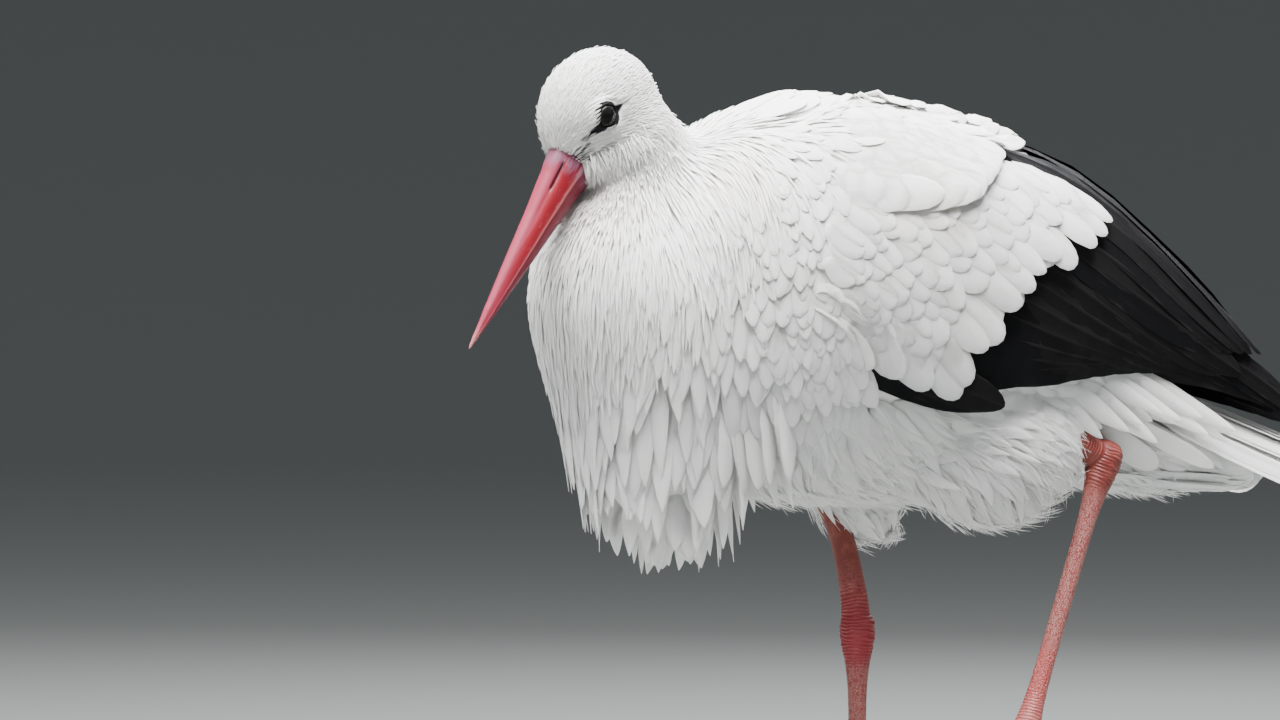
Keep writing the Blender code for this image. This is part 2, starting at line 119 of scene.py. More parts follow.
sky = bpy.data.worlds.new("sky")
sky.use_nodes = True
backdrop = sky.node_tree.nodes["Background"]
backdrop.inputs["Color"].default_value = (*SKY_GREY, 1.0)
backdrop.inputs["Strength"].default_value = SKY_STRENGTH
bpy.context.scene.world = sky

for lamp_name, (place, target, width, watts, colour) in LAMPS.items():
    lamp = bpy.data.lights.new(lamp_name, "AREA")
    lamp.size = width
    lamp.energy = watts
    lamp.color = colour
    lamp_object = bpy.data.objects.new(lamp_name, lamp)
    lamp_object.visible_camera = False
    aim(lamp_object, place, target)

camera_data = bpy.data.cameras.new("camera")
camera_data.lens = CAMERA_LENS
camera_data.sensor_width = CAMERA_SENSOR
camera_data.clip_end = 200.0
camera = bpy.data.objects.new("camera", camera_data)
aim(camera, CAMERA_AT, CAMERA_LOOKS_AT)
bpy.context.scene.camera = camera


# --- Skin: one closed form for head, neck, breast, body, thighs and folded wing arms ------------------------
# The mounted skin is a single surface over the body, drawn in from the feather tips by the depth of the
# coat. It is bare and black in a drop round each eye, where two lids close on the eyeball.
FLESH = ["head", "neck", "breast_ruff", "trunk", "thigh_l", "thigh_r", "undertail_coverts"]
FLESH += ["wing_coverts_l", "wing_coverts_r"]
SIDES = {"l": 1.0, "r": -1.0}
SKIN_VOXEL = 0.0026
HEAD_TURN = math.radians(10.0)  # the head is turned to the bird's left
BILL_DROP = math.radians(54.7)  # and the bill points down
HEAD_CENTRE = np.array([0.005, -0.202, 0.558])
UP = np.array([0.0, 0.0, 1.0])
HEAD_AHEAD = np.array([math.sin(HEAD_TURN), -math.cos(HEAD_TURN), 0.0])
HEAD_SIDE = np.array([math.cos(HEAD_TURN), math.sin(HEAD_TURN), 0.0])
BILL_AXIS = math.cos(BILL_DROP) * HEAD_AHEAD - math.sin(BILL_DROP) * UP
BILL_UP = math.sin(BILL_DROP) * HEAD_AHEAD + math.cos(BILL_DROP) * UP
BILL_BASE = HEAD_CENTRE + 0.044 * BILL_AXIS - 0.002 * BILL_UP
EYE_AT = {side: HEAD_CENTRE + 0.016 * HEAD_AHEAD + sign * 0.026 * HEAD_SIDE - 0.0045 * UP
          for side, sign in SIDES.items()}
EYE_RADIUS = 0.0083
EYE_DEPTH = 0.0068  # the ball's half axis outwards
LID_RADIUS = 0.0074  # the opening between the lids
LID_ROLL = 0.0016  # how wide the rolled edge of a lid is
CORNERS = {"front": (0.0106, -0.0141), "rear": (-0.0127, 0.0086)}  # ahead and up from the eye's middle
BARE_STRIPS = [  # start and end, ahead and up from the eye's middle, and the half widths there
    ((0.0, 0.0), (0.0, 0.0), 0.0100, 0.0100),
    ((0.003, -0.005), CORNERS["front"], 0.0054, 0.0004),
    ((-0.005, 0.002), CORNERS["rear"], 0.0046, 0.0003),
    ((0.0062, -0.0285), (0.0009, -0.0233), 0.0012, 0.0007),
    ((0.0009, -0.0233), (-0.0050, -0.0175), 0.0007, 0.0001),
]
BRISTLE_STRIPS = [
    ((0.0106, -0.0141), (0.0117, -0.0233), 0.0026, 0.0034),
    ((0.0110, -0.0270), (0.0045, -0.0260), 0.0020, 0.0012),
    ((0.0062, -0.0285), (-0.0050, -0.0175), 0.0022, 0.0008),
]
NECK_TOP = (np.array([0.0, -0.176, 0.535]), np.array([0.0, -0.66, 0.75]))  # planes across the bird
BREAST_BACK = (np.array([0.0, -0.110, 0.430]), np.array([0.0, -0.995, -0.10]))
BARE_BLACK = (0.005, 0.005, 0.006)
WHITE = (0.90, 0.895, 0.88)
BUFF = (0.70, 0.60, 0.45)
ROSE = (0.86, 0.75, 0.72)


def unit(vectors):
    """Each vector divided by its length."""
    vectors = np.asarray(vectors, float)
    return vectors / np.maximum(np.linalg.norm(vectors, axis=-1, keepdims=True), 1e-12)


def rise(low, high, value):
    """0 below low, 1 above high, and the smooth cubic 3t^2 - 2t^3 between them."""
    t = np.clip((value - low) / (high - low), 0.0, 1.0)
    return t * t * (3.0 - 2.0 * t)


def mix(a, b, share):
    """a where share is 0, b where it is 1."""
    return a + (b - a) * share


def ahead_of(plane, points):
    """How far each point lies on the head's side of a plane across the bird."""
    return (points - plane[0]) @ unit(plane[1])


def read(mesh, what, name, width):
    """A mesh attribute or its corners' places as an array with `width` numbers a row."""
    source = mesh.vertices if name == "co" else mesh.attributes[name].data
    values = np.empty(len(source) * width, np.float32)
    source.foreach_get(what, values)
    return values.reshape(-1, width).astype(float) if width > 1 else values.astype(float)


def write(mesh, name, values):
    """Store one value, or one vector, for each corner of a mesh under a name."""
    kind, key = ("FLOAT_VECTOR", "vector") if np.ndim(values) > 1 else ("FLOAT", "value")
    held = mesh.attributes.get(name) or mesh.attributes.new(name, kind, "POINT")
    held.data.foreach_set(key, np.asarray(values, np.float32).ravel())


def evaluated(thing):
    """A new mesh of what an object's modifiers make of it."""
    graph = bpy.context.evaluated_depsgraph_get()
    return bpy.data.meshes.new_from_object(thing.evaluated_get(graph))


def merged(name, nodes):
    """One mesh with the triangles of several CAD nodes, each with its doubled corners merged."""
    places, faces, start = [], [], 0
    for node in nodes:
        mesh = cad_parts[node].data
        corners = np.round(read(mesh, "co", "co", 3), 6)
        triangles = np.empty(len(mesh.polygons) * 3, np.int32)
        mesh.polygons.foreach_get("vertices", triangles)
        found, same = np.unique(corners, axis=0, return_inverse=True)
        places.append(found)
        faces.append(same.reshape(-1)[triangles].reshape(-1, 3) + start)
        start += len(found)
    made = bpy.data.meshes.new(name)
    made.from_pydata(np.vstack(places).tolist(), [], np.vstack(faces).tolist())
    made.validate()
    thing = bpy.data.objects.new(name, made)
    bpy.context.scene.collection.objects.link(thing)
    return thing


def remeshed(thing, voxel, smoothing):
    """Wrap the object in one even quad surface and ease it."""
    wrap = thing.modifiers.new("wrap", "REMESH")
    wrap.mode = "VOXEL"
    wrap.voxel_size = voxel
    ease = thing.modifiers.new("ease", "SMOOTH")
    ease.factor = 0.5
    ease.iterations = smoothing
    thing.data = evaluated(thing)
    thing.modifiers.clear()


def out_of(mesh):
    """The outward direction at every corner of a mesh."""
    normals = np.empty(len(mesh.vertices) * 3, np.float32)
    mesh.vertex_normals.foreach_get("vector", normals)
    return normals.reshape(-1, 3).astype(float)


def from_eye(points, side):
    """Places as (ahead, up, outwards) from the middle of one eye."""
    way = points - EYE_AT[side]
    return np.stack([way @ HEAD_AHEAD, way @ UP, SIDES[side] * (way @ HEAD_SIDE)], 1)


def inside_strips(points, strips):
    """How deep each point lies inside the nearest strip of the face. A strip runs between two places, and its
    half width changes evenly from the one to the other."""
    depth = np.full(len(points), -1.0)
    for side in SIDES:
        local = from_eye(points, side)
        near = local[:, 2] > -0.019
        for start, end, first, last in strips:
            way = np.subtract(end, start)
            t = np.clip((local[:, :2] - start) @ way / max(way @ way, 1e-12), 0.0, 1.0)
            off = np.linalg.norm(local[:, :2] - start - t[:, None] * way, axis=1)
            depth = np.where(near, np.maximum(depth, mix(first, last, t) - off), depth)
    return depth


def coat_depth(points):
    """How thick the coat is: thin on the head, deepest on the breast, thin again over the wing."""
    below_head = -ahead_of(NECK_TOP, points)
    depth = mix(0.0022, 0.0055, rise(-0.006, 0.03, below_head))
    depth = mix(depth, 0.012, rise(0.03, 0.09, below_head))
    depth = mix(depth, 0.0085, rise(-0.02, 0.05, -ahead_of(BREAST_BACK, points)))
    ruff_end = rise(0.335, 0.275, points[:, 2]) * rise(-0.035, -0.005, ahead_of(BREAST_BACK, points))
    depth = mix(depth, 0.030, ruff_end)
    wing = rise(0.066, 0.082, np.abs(points[:, 0])) * rise(0.37, 0.40, points[:, 2])
    depth = mix(depth, 0.0055, wing * rise(-0.09, -0.05, points[:, 1]))
    return mix(depth, 0.0006, rise(-0.002, 0.001, inside_strips(points, BARE_STRIPS)))


def finer_round_eyes(mesh):
    """Cut every quad within 22 mm of an eye into sixteen, and ease what was cut."""
    form = bmesh.new()
    form.from_mesh(mesh)

    def within(distance):
        return [vert for vert in form.verts
                if min(np.linalg.norm(np.array(vert.co) - eye) for eye in EYE_AT.values()) < distance]

    near = set(within(0.022))
    edges = [edge for edge in form.edges if edge.verts[0] in near and edge.verts[1] in near]
    bmesh.ops.subdivide_edges(form, edges=edges, cuts=3, use_grid_fill=True)
    cut = within(0.020)
    for _ in range(6):
        bmesh.ops.smooth_vert(form, verts=cut, factor=0.5, use_axis_x=True, use_axis_y=True, use_axis_z=True)
    form.to_mesh(mesh)
    form.free()


def lidded(points):
    """Draw the skin round each eye into two lids. Inside the opening it sinks behind the ball; along the
    opening it stands on the ball as a rolled edge, and over the next 5 mm it eases into the cheek. The
    opening is a circle that is drawn out a little towards both corners of the eye."""
    points = points.copy()
    for side, sign in SIDES.items():
        local = from_eye(points, side)
        off = np.hypot(local[:, 0], local[:, 1])
        turn = np.arctan2(local[:, 1], local[:, 0])
        drawn = 0.0
        for ahead, up in CORNERS.values():
            drawn = drawn + np.clip(np.cos(turn - math.atan2(up, ahead)), 0.0, 1.0) ** 6
        opening = LID_RADIUS * (0.96 + 0.12 * drawn)
        ball = EYE_DEPTH * np.sqrt(np.clip(1.0 - (np.minimum(off, opening) / EYE_RADIUS) ** 2, 0.0, 1.0))
        past = off - opening
        roll = 0.0008 * np.sin(math.pi * np.clip(past / LID_ROLL, 0.0, 1.0)) + 0.0003
        lid = np.where(past < 0.0, ball - 0.0014 * rise(0.0, -0.0006, past), ball + roll)
        height = mix(lid, local[:, 2], rise(0.6 * LID_ROLL, LID_ROLL + 0.0045, past))
        touched = (off < 0.020) & (local[:, 2] > -0.012)
        points += np.where(touched, height - local[:, 2], 0.0)[:, None] * sign * HEAD_SIDE
    return points


def group(name, inputs, outputs):
    """An empty shader node group with named sockets: the tree, its input node and its output node."""
    tree = bpy.data.node_groups.new(name, "ShaderNodeTree")
    for socket, kind, value in inputs:
        made = tree.interface.new_socket(socket, in_out="INPUT", socket_type=kind)
        if value is not None:
            made.default_value = value
    for socket, kind in outputs:
        tree.interface.new_socket(socket, in_out="OUTPUT", socket_type=kind)
    return tree, tree.nodes.new("NodeGroupInput"), tree.nodes.new("NodeGroupOutput")


def maths(tree, operation, *values):
    """A Math node on numbers or sockets; gives its output."""
    node = tree.nodes.new("ShaderNodeMath")
    node.operation = operation
    for socket, value in zip(node.inputs, values):
        if isinstance(value, (int, float)):
            socket.default_value = value
        else:
            tree.links.new(value, socket)
    return node.outputs[0]


def times(tree, first, second):
    """The product of two numbers or sockets."""
    return maths(tree, "MULTIPLY", first, second)


def ramped(tree, value, low, high, start=0.0, end=1.0):
    """A smooth Map Range of a socket from low..high to start..end."""
    node = tree.nodes.new("ShaderNodeMapRange")
    node.interpolation_type = "SMOOTHSTEP"
    tree.links.new(value, node.inputs["Value"])
    for socket, number in zip(("From Min", "From Max", "To Min", "To Max"), (low, high, start, end)):
        node.inputs[socket].default_value = number
    return node.outputs[0]


def blend(tree, factor, first, second):
    """A Mix Color node; each colour is three numbers or a socket, and so is the factor."""
    node = tree.nodes.new("ShaderNodeMix")
    node.data_type = "RGBA"
    for socket, value in ((node.inputs[0], factor), (node.inputs[6], first), (node.inputs[7], second)):
        if isinstance(value, tuple):
            socket.default_value = (*value, 1.0)
        elif isinstance(value, (int, float)):
            socket.default_value = value
        else:
            tree.links.new(value, socket)
    return node.outputs[2]


def noise(tree, scale, detail, at=None, roughness=0.5):
    """A noise texture on object coordinates, or on another vector; gives its value."""
    node = tree.nodes.new("ShaderNodeTexNoise")
    node.inputs["Scale"].default_value = scale
    node.inputs["Detail"].default_value = detail
    node.inputs["Roughness"].default_value = roughness
    tree.links.new(at or tree.nodes.new("ShaderNodeTexCoord").outputs["Object"], node.inputs["Vector"])
    return node.outputs["Fac"]


def stored(tree, name, vector=False):
    """A mesh attribute as a value, or as a vector."""
    node = tree.nodes.new("ShaderNodeAttribute")
    node.attribute_name = name
    return node.outputs["Vector" if vector else "Fac"]


def embossed(tree, shader, height, strength, distance):
    """Feed a height into the shader's normal through a Bump node."""
    bump = tree.nodes.new("ShaderNodeBump")
    bump.inputs["Strength"].default_value = strength
    bump.inputs["Distance"].default_value = distance
    tree.links.new(height, bump.inputs["Height"])
    tree.links.new(bump.outputs["Normal"], shader.inputs["Normal"])


def near_place(tree, place, radius):
    """1 at a place of the object, falling smoothly to 0 at a distance."""
    node = tree.nodes.new("ShaderNodeVectorMath")
    node.operation = "DISTANCE"
    tree.links.new(tree.nodes.new("ShaderNodeTexCoord").outputs["Object"], node.inputs[0])
    node.inputs[1].default_value = place
    return ramped(tree, node.outputs["Value"], 0.15 * radius, radius, 1.0, 0.0)


# The plumage's colour: white, a little uneven, with painted warm shade under the shoulder fold and below the
# cheek lobe, and rosy spots: painted shade in the gap where the hind neck meets the mantle, and rosy patches on
# the lower throat and beside the wing. Skin and feathers both take it.
WARM_SHADE_SPOTS = [  # place, radius and strength of each spot of painted warm shade
    ((0.098, 0.006, 0.487), 0.030, 0.34),
    ((0.100, -0.022, 0.485), 0.026, 0.24),
    ((0.03, -0.20, 0.50), 0.045, 0.10),
]
# Rosy spots: the first is painted shade in the gap where the hind neck meets the mantle; the second lies on the
# lower throat and the third beside the wing.
ROSY_SPOTS = [
    ((0.055, -0.120, 0.500), 0.050, 0.55),
    ((0.030, -0.215, 0.480), 0.050, 0.30),
    ((0.09, 0.02, 0.43), 0.05, 0.2),
]
CLOUD_GREY = (0.86, 0.86, 0.87)
plumage, _, plumage_out = group("plumage", [], [("Colour", "NodeSocketColor")])
cloud = ramped(plumage, noise(plumage, 26.0, 3.0), 0.35, 0.7)
plumage_colour = blend(plumage, times(plumage, cloud, 0.35), WHITE, CLOUD_GREY)
# Mix the painted warm shade and then the rosy spots into the white.
for shade_and_tint_spots, spot_colour in ((WARM_SHADE_SPOTS, BUFF), (ROSY_SPOTS, ROSE)):
    for place, radius, strength in shade_and_tint_spots:
        mask = times(plumage, near_place(plumage, place, radius), strength)
        plumage_colour = blend(plumage, mask, plumage_colour, spot_colour)
plumage.links.new(plumage_colour, plumage_out.inputs["Colour"])


def placed(tree, source):
    """A node group set into a material."""
    node = tree.nodes.new("ShaderNodeGroup")
    node.node_tree = source
    return node


skin = merged("skin", FLESH + ["eye_l", "eye_r"])
remeshed(skin, SKIN_VOXEL, 6)
outer = read(skin.data, "co", "co", 3)
inner = outer - out_of(skin.data) * coat_depth(outer)[:, None]
skin.data.vertices.foreach_set("co", inner.astype(np.float32).ravel())
remeshed(skin, SKIN_VOXEL, 4)
finer_round_eyes(skin.data)
with_lids = lidded(read(skin.data, "co", "co", 3))
skin.data.vertices.foreach_set("co", with_lids.astype(np.float32).ravel())
skin.data.shade_smooth()
bpy.context.view_layer.objects.active = skin
skin.select_set(True)
bpy.ops.object.mode_set(mode="EDIT")
bpy.ops.mesh.select_all(action="SELECT")
bpy.ops.uv.smart_project(angle_limit=math.radians(60.0), island_margin=0.004)
bpy.ops.object.mode_set(mode="OBJECT")
skin.data.uv_layers[0].name = "OFBake"
skin_points = read(skin.data, "co", "co", 3)
write(skin.data, "out", out_of(skin.data))
write(skin.data, "depth", coat_depth(skin_points))
write(skin.data, "bare", rise(-0.0004, 0.0004, inside_strips(skin_points, BARE_STRIPS)))

skin_paint, skin_shader = paint("skin_paint", WHITE, 0.6, Specular_IOR_Level=0.12)
tree = skin_paint.node_tree
bare = stored(tree, "bare")
white = placed(tree, plumage).outputs["Colour"]
tree.links.new(blend(tree, bare, white, BARE_BLACK), skin_shader.inputs["Base Color"])
tree.links.new(ramped(tree, bare, 0.0, 1.0, 0.75, 0.65), skin_shader.inputs["Roughness"])
embossed(tree, skin_shader, noise(tree, 1400.0, 2.0), 0.35, 0.0004)
skin.data.materials.append(skin_paint)
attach(skin, "root")
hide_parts(*FLESH)


# --- Eyes ---------------------------------------------------------------------------------------------------
# Each eyeball is a wet, dark ball, a little flatter outwards, with a black pupil, a dull brown iris with a
# lighter outer ring, and a slight bulge of the cornea. It sits in the skin behind the two lids.
PUPIL = 0.0044
IRIS = 0.0063
CORNEA_BULGE = 0.0005
EYE_RINGS = 47
EYE_AROUND = 64
PUPIL_BLACK = (0.004, 0.004, 0.004)
IRIS_BROWN = (0.004, 0.0035, 0.0035)
IRIS_STREAK = (0.008, 0.007, 0.006)
IRIS_RIM = (0.022, 0.021, 0.020)
EYE_EDGE = (0.006, 0.006, 0.006)

eye_paint, eye_shader = paint("eye_wet", BARE_BLACK, 0.05, IOR=1.3, Specular_IOR_Level=0.18)
tree = eye_paint.node_tree
off_axis = stored(tree, "off_axis")
rays = noise(tree, 5.0, 4.0, stored(tree, "ray", vector=True))
iris = blend(tree, ramped(tree, rays, 0.35, 0.7), IRIS_BROWN, IRIS_STREAK)
iris = blend(tree, ramped(tree, off_axis, 0.0057, 0.0062), iris, IRIS_RIM)
colour = blend(tree, ramped(tree, off_axis, PUPIL, PUPIL + 0.0003), PUPIL_BLACK, iris)
colour = blend(tree, ramped(tree, off_axis, IRIS - 0.0002, IRIS + 0.0002), colour, EYE_EDGE)
tree.links.new(colour, eye_shader.inputs["Base Color"])
for side, sign in SIDES.items():
    polar = np.linspace(0.0, math.pi, EYE_RINGS + 2)[1:-1]
    off = EYE_RADIUS * np.sin(polar)
    out = EYE_DEPTH * np.cos(polar) + CORNEA_BULGE * rise(0.0050, 0.0, off) * (polar < 1.5)
    spots, quads = turned(np.stack([off, out], 1), EYE_AROUND)
    spots = np.vstack([spots, [[0.0, 0.0, EYE_DEPTH + CORNEA_BULGE], [0.0, 0.0, -EYE_DEPTH]]])
    axes = np.stack([HEAD_AHEAD, UP, sign * HEAD_SIDE])
    step = np.arange(EYE_AROUND)
    after = (step + 1) % EYE_AROUND
    last = (EYE_RINGS - 1) * EYE_AROUND
    pole = EYE_RINGS * EYE_AROUND
    front = np.stack([0 * step + pole, step, after], 1)
    back = np.stack([0 * step + pole + 1, last + after, last + step], 1)
    faces = quads[:, ::-1].tolist() + front.tolist() + back.tolist()
    mesh = bpy.data.meshes.new(f"eyeball_{side}")
    ball_faces = [face[::-1] for face in faces] if sign > 0 else faces
    mesh.from_pydata((EYE_AT[side] + spots @ axes).tolist(), [], ball_faces)
    mesh.shade_smooth()
    from_axis = np.hypot(spots[:, 0], spots[:, 1])
    write(mesh, "off_axis", from_axis)
    write(mesh, "ray", np.column_stack([unit(spots[:, :2]) * 3.0, 60.0 * from_axis]))
    mesh.materials.append(eye_paint)
    eyeball = bpy.data.objects.new(f"eyeball_{side}", mesh)
    bpy.context.scene.collection.objects.link(eyeball)
    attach(eyeball, "root")
    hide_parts(f"eye_{side}")


# --- Head feathers ------------------------------------------------------------------------------------------
# Very short, silky white feathers that lie close from the bill backwards. In front of the eye and along the
# corner of the mouth they are thin and black. Each feather is one closed blade, rooted in the skin.
rng = np.random.default_rng(11)
NECK_MIDDLE = np.array([0.004, -0.180, 0.565])
CHEEK_END = (0.013, -0.0436)  # ahead and up from the eye: where the cheek's lower line meets the chin
CHEEK_ACROSS = (0.499, 0.867)  # square to that line, towards the crown
STIFFNESS = 0.35  # how much of its own heading a feather keeps from one step to the next
SPOT = 0.003  # how much of the skin's unwrap one feather takes

# How a feather blade is cut across: places from side to side, in half widths, and up, in thicknesses.
NEEDLE = [(1.0, 0.0), (-0.5, 0.87), (-0.5, -0.87)]
TUFT = [(1.0, 0.0), (0.0, 1.0), (-1.0, 0.0), (0.0, -1.0)]
SOFT = [(1.0, 0.0), (0.55, 0.8), (0.0, 1.0), (-0.55, 0.8), (-1.0, 0.0), (0.0, -0.8)]
SHAFTED = [(1.0, 0.0), (0.6, 0.6), (0.09, 0.8), (0.0, 1.9)]  # with a raised shaft
SHAFTED += [(-0.09, 0.8), (-0.6, 0.6), (-1.0, 0.0), (0.0, -0.8)]


def steps_of(name):
    """An empty geometry node group: the tree, its input node and its output node."""
    tree = bpy.data.node_groups.new(name, "GeometryNodeTree")
    for way in ("INPUT", "OUTPUT"):
        tree.interface.new_socket("Geometry", in_out=way, socket_type="NodeSocketGeometry")
    return tree, tree.nodes.new("NodeGroupInput"), tree.nodes.new("NodeGroupOutput")


def on_form(tree, name, kind):
    """An attribute of the geometry that passes through, as a socket."""
    named = tree.nodes.new("GeometryNodeInputNamedAttribute")
    named.data_type = kind
    named.inputs["Name"].default_value = name
    return named.outputs["Attribute"]


sowing, sow_in, sow_out = steps_of("sowing")
scatter = sowing.nodes.new("GeometryNodeDistributePointsOnFaces")
scatter.distribute_method = "POISSON"
as_corners = sowing.nodes.new("GeometryNodePointsToVertices")
sowing.links.new(sow_in.outputs[0], scatter.inputs["Mesh"])
sowing.links.new(on_form(sowing, "sown", "FLOAT"), scatter.inputs["Density Factor"])
sowing.links.new(scatter.outputs["Points"], as_corners.inputs["Points"])
sowing.links.new(as_corners.outputs["Mesh"], sow_out.inputs[0])

snapping, snap_in, snap_out = steps_of("snapping")
snap_on = snapping.nodes.new("GeometryNodeObjectInfo")
snap_on.inputs["Object"].default_value = skin
snap_place = snapping.nodes.new("GeometryNodeInputPosition")
snapped = snap_in.outputs[0]
for kept, kind in (("out", "FLOAT_VECTOR"), ("depth", "FLOAT"), ("at", "FLOAT_VECTOR")):
    sample = snapping.nodes.new("GeometryNodeSampleNearestSurface")
    sample.data_type = kind
    snapping.links.new(snap_on.outputs["Geometry"], sample.inputs["Mesh"])
    source = snap_place.outputs["Position"] if kept == "at" else on_form(snapping, kept, kind)
    snapping.links.new(source, sample.inputs["Value"])
    store = snapping.nodes.new("GeometryNodeStoreNamedAttribute")
    store.data_type = kind
    store.inputs["Name"].default_value = kept
    snapping.links.new(snapped, store.inputs["Geometry"])
    snapping.links.new(sample.outputs["Value"], store.inputs["Value"])
    snapped = store.outputs["Geometry"]
snapping.links.new(snapped, snap_out.inputs[0])


def sow(share, spacing, seed):
    """Feather roots on the skin, at least `spacing` apart, kept with the chance that `share` gives at each
    corner of the skin: their places, outward directions and places on the skin's unwrap."""
    write(skin.data, "sown", share)
    scatter.inputs["Distance Min"].default_value = spacing
    scatter.inputs["Density Max"].default_value = 2.5 / spacing**2
    scatter.inputs["Seed"].default_value = seed
    sower = skin.modifiers.new("sower", "NODES")
    sower.node_group = sowing
    found = evaluated(skin)
    skin.modifiers.remove(sower)
    return read(found, "co", "co", 3), read(found, "vector", "out", 3), read(found, "vector", "OFBake", 2)


def snap(points):
    """The nearest places on the skin to some points, the outward directions there and the coat's depths."""
    mesh = bpy.data.meshes.new("snap")
    mesh.vertices.add(len(points))
    mesh.vertices.foreach_set("co", np.asarray(points, np.float32).ravel())
    holder = bpy.data.objects.new("snap", mesh)
    bpy.context.scene.collection.objects.link(holder)
    holder.modifiers.new("snap", "NODES").node_group = snapping
    found = evaluated(holder)
    bpy.data.objects.remove(holder, do_unlink=True)
    out = unit(read(found, "vector", "out", 3))
    return read(found, "vector", "at", 3), out, read(found, "value", "depth", 1)


def flow(points, outs):
    """The lie of the coat: away from the bill over the head, down the neck and breast, and then turning
    backwards along the body, flatter on the back than low on the side. It keeps to the skin's plane."""
    y, z = points[:, 1:2], points[:, 2:3]
    below_head = -ahead_of(NECK_TOP, points)[:, None]
    over_head = unit(points - BILL_BASE) + [0.0, 0.3, -0.25]
    down = np.array([0.0, 0.0, -1.0])
    slope = math.pi / 2 * (1.0 - 0.72 * rise(-0.15, 0.05, y))
    slope = slope * mix(1.0, 0.3, rise(0.49, 0.57, z) * rise(-0.14, -0.09, y))
    slope = mix(slope, 0.9, rise(0.335, 0.30, z) * rise(-0.04, 0.0, y) * rise(0.12, 0.09, y))
    back = np.concatenate([0 * y, np.cos(slope), -np.sin(slope)], 1)
    field = mix(unit(over_head), down, rise(-0.012, 0.014, below_head))
    from_neck = points - NECK_MIDDLE
    near_neck = rise(0.16, 0.06, np.linalg.norm(from_neck, axis=1))[:, None]
    field = mix(field, unit(from_neck), near_neck * rise(-0.012, 0.014, below_head))
    field = mix(field, back, rise(-0.16, -0.10, y) * rise(0.02, 0.05, below_head))
    field = field - np.sum(field * outs, 1)[:, None] * outs
    return unit(field + 1e-6)


def column(values, count):
    """One number, or one for each feather, as a column."""
    return np.broadcast_to(np.asarray(values, float), (count,))[:, None]


def combed(roots, outs, length, steps, lift=1.0, loose=0.0, sag=0.0, turn=0.0):
    """Centre lines of feathers, marched from their roots in even steps. Each step goes along the lie of the
    coat, turned by `turn` and partly kept straight, and is drawn back onto the skin but for the share
    `loose`, which grows towards the tip; `sag` lets a loose tip hang. The line stands off the skin by the
    coat's depth times `lift`, from almost nothing at the root. Gives the lines and the outward directions,
    (feathers, steps + 1, 3)."""
    stride, loose, lift, turn = (column(part, len(roots)) for part in (length, loose, lift, turn))
    base, out = roots, outs
    heading = flow(base, out)
    heading = heading * np.cos(turn) + np.cross(out, heading) * np.sin(turn)
    depth = coat_depth(roots)[:, None]
    lines, ups = [base + out * depth * 0.05], [out]
    for step in range(1, steps + 1):
        share = step / steps
        onward = flow(base, out)
        onward = onward * np.cos(turn) + np.cross(out, onward) * np.sin(turn)
        heading = unit(mix(onward, heading, STIFFNESS) - sag * share * loose * UP)
        free = base + heading * stride / steps
        on, out_next, depth_next = snap(free)
        hold = 1.0 - loose * share
        base = mix(free, on, hold)
        out = unit(mix(out, out_next, 0.3 + 0.7 * hold))
        depth = mix(depth, depth_next[:, None], hold)
        lines.append(base + out * depth * lift * (0.05 + 0.95 * share**0.45))
        ups.append(out)
    return np.stack(lines, 1), np.stack(ups, 1)


def along(lines, shares):
    """Places on lines of evenly numbered points, (lines, points, 3), at shares of their length."""
    place = np.asarray(shares) * (lines.shape[1] - 1)
    first = np.minimum(place.astype(int), lines.shape[1] - 2)
    return mix(lines[:, first], lines[:, first + 1], (place - first)[None, :, None])


def tubes(name, rings, roots, tips, material, maps=(), values=()):
    """Closed tubes joined in one mesh. Tube n runs from the point roots[n] through rings[n], an array of
    (rings, corners, 3), to tips[n], with quads between the rings and triangles at both ends. `maps` are UV
    maps and `values` attributes: a name and what it holds at every corner, tube by tube."""
    tube_count, ring_count, around = rings.shape[:3]
    per_tube = ring_count * around + 2
    points = np.concatenate([roots[:, None], rings.reshape(tube_count, -1, 3), tips[:, None]], 1)
    ring, corner = np.meshgrid(np.arange(ring_count - 1), np.arange(around), indexing="ij")
    after = (corner + 1) % around
    here = 1 + ring * around
    quads = np.stack([here + corner, here + after, here + around + after, here + around + corner], -1)
    quads = quads.reshape(-1, 4)
    step = np.arange(around)
    last = 1 + (ring_count - 1) * around
    fans = np.concatenate([
        np.stack([0 * step, 1 + (step + 1) % around, 1 + step], -1),
        np.stack([0 * step + per_tube - 1, last + step, last + (step + 1) % around], -1),
    ])
    offset = (np.arange(tube_count) * per_tube)[:, None, None]
    quad_corners = (quads[None] + offset).reshape(-1)
    fan_corners = (fans[None] + offset).reshape(-1)
    corners = np.concatenate([quad_corners, fan_corners]).astype(np.int32)
    quad_starts = np.arange(0, len(quad_corners), 4)
    starts = np.concatenate([quad_starts, np.arange(len(quad_corners), len(corners), 3)])
    mesh = bpy.data.meshes.new(name)
    mesh.vertices.add(tube_count * per_tube)
    mesh.vertices.foreach_set("co", points.astype(np.float32).ravel())
    mesh.loops.add(len(corners))
    mesh.loops.foreach_set("vertex_index", corners)
    mesh.polygons.add(len(starts))
    mesh.polygons.foreach_set("loop_start", starts.astype(np.int32))
    mesh.update(calc_edges=True)
    mesh.shade_smooth()
    mesh.set_sharp_from_angle(angle=math.radians(65.0))
    for map_name, places in maps:
        layer = mesh.uv_layers.new(name=map_name)
        layer.uv.foreach_set("vector", places.reshape(-1, 2)[corners].astype(np.float32).ravel())
    for value_name, numbers in values:
        write(mesh, value_name, numbers)
    mesh.materials.append(material)
    made = bpy.data.objects.new(name, mesh)
    bpy.context.scene.collection.objects.link(made)
    return made


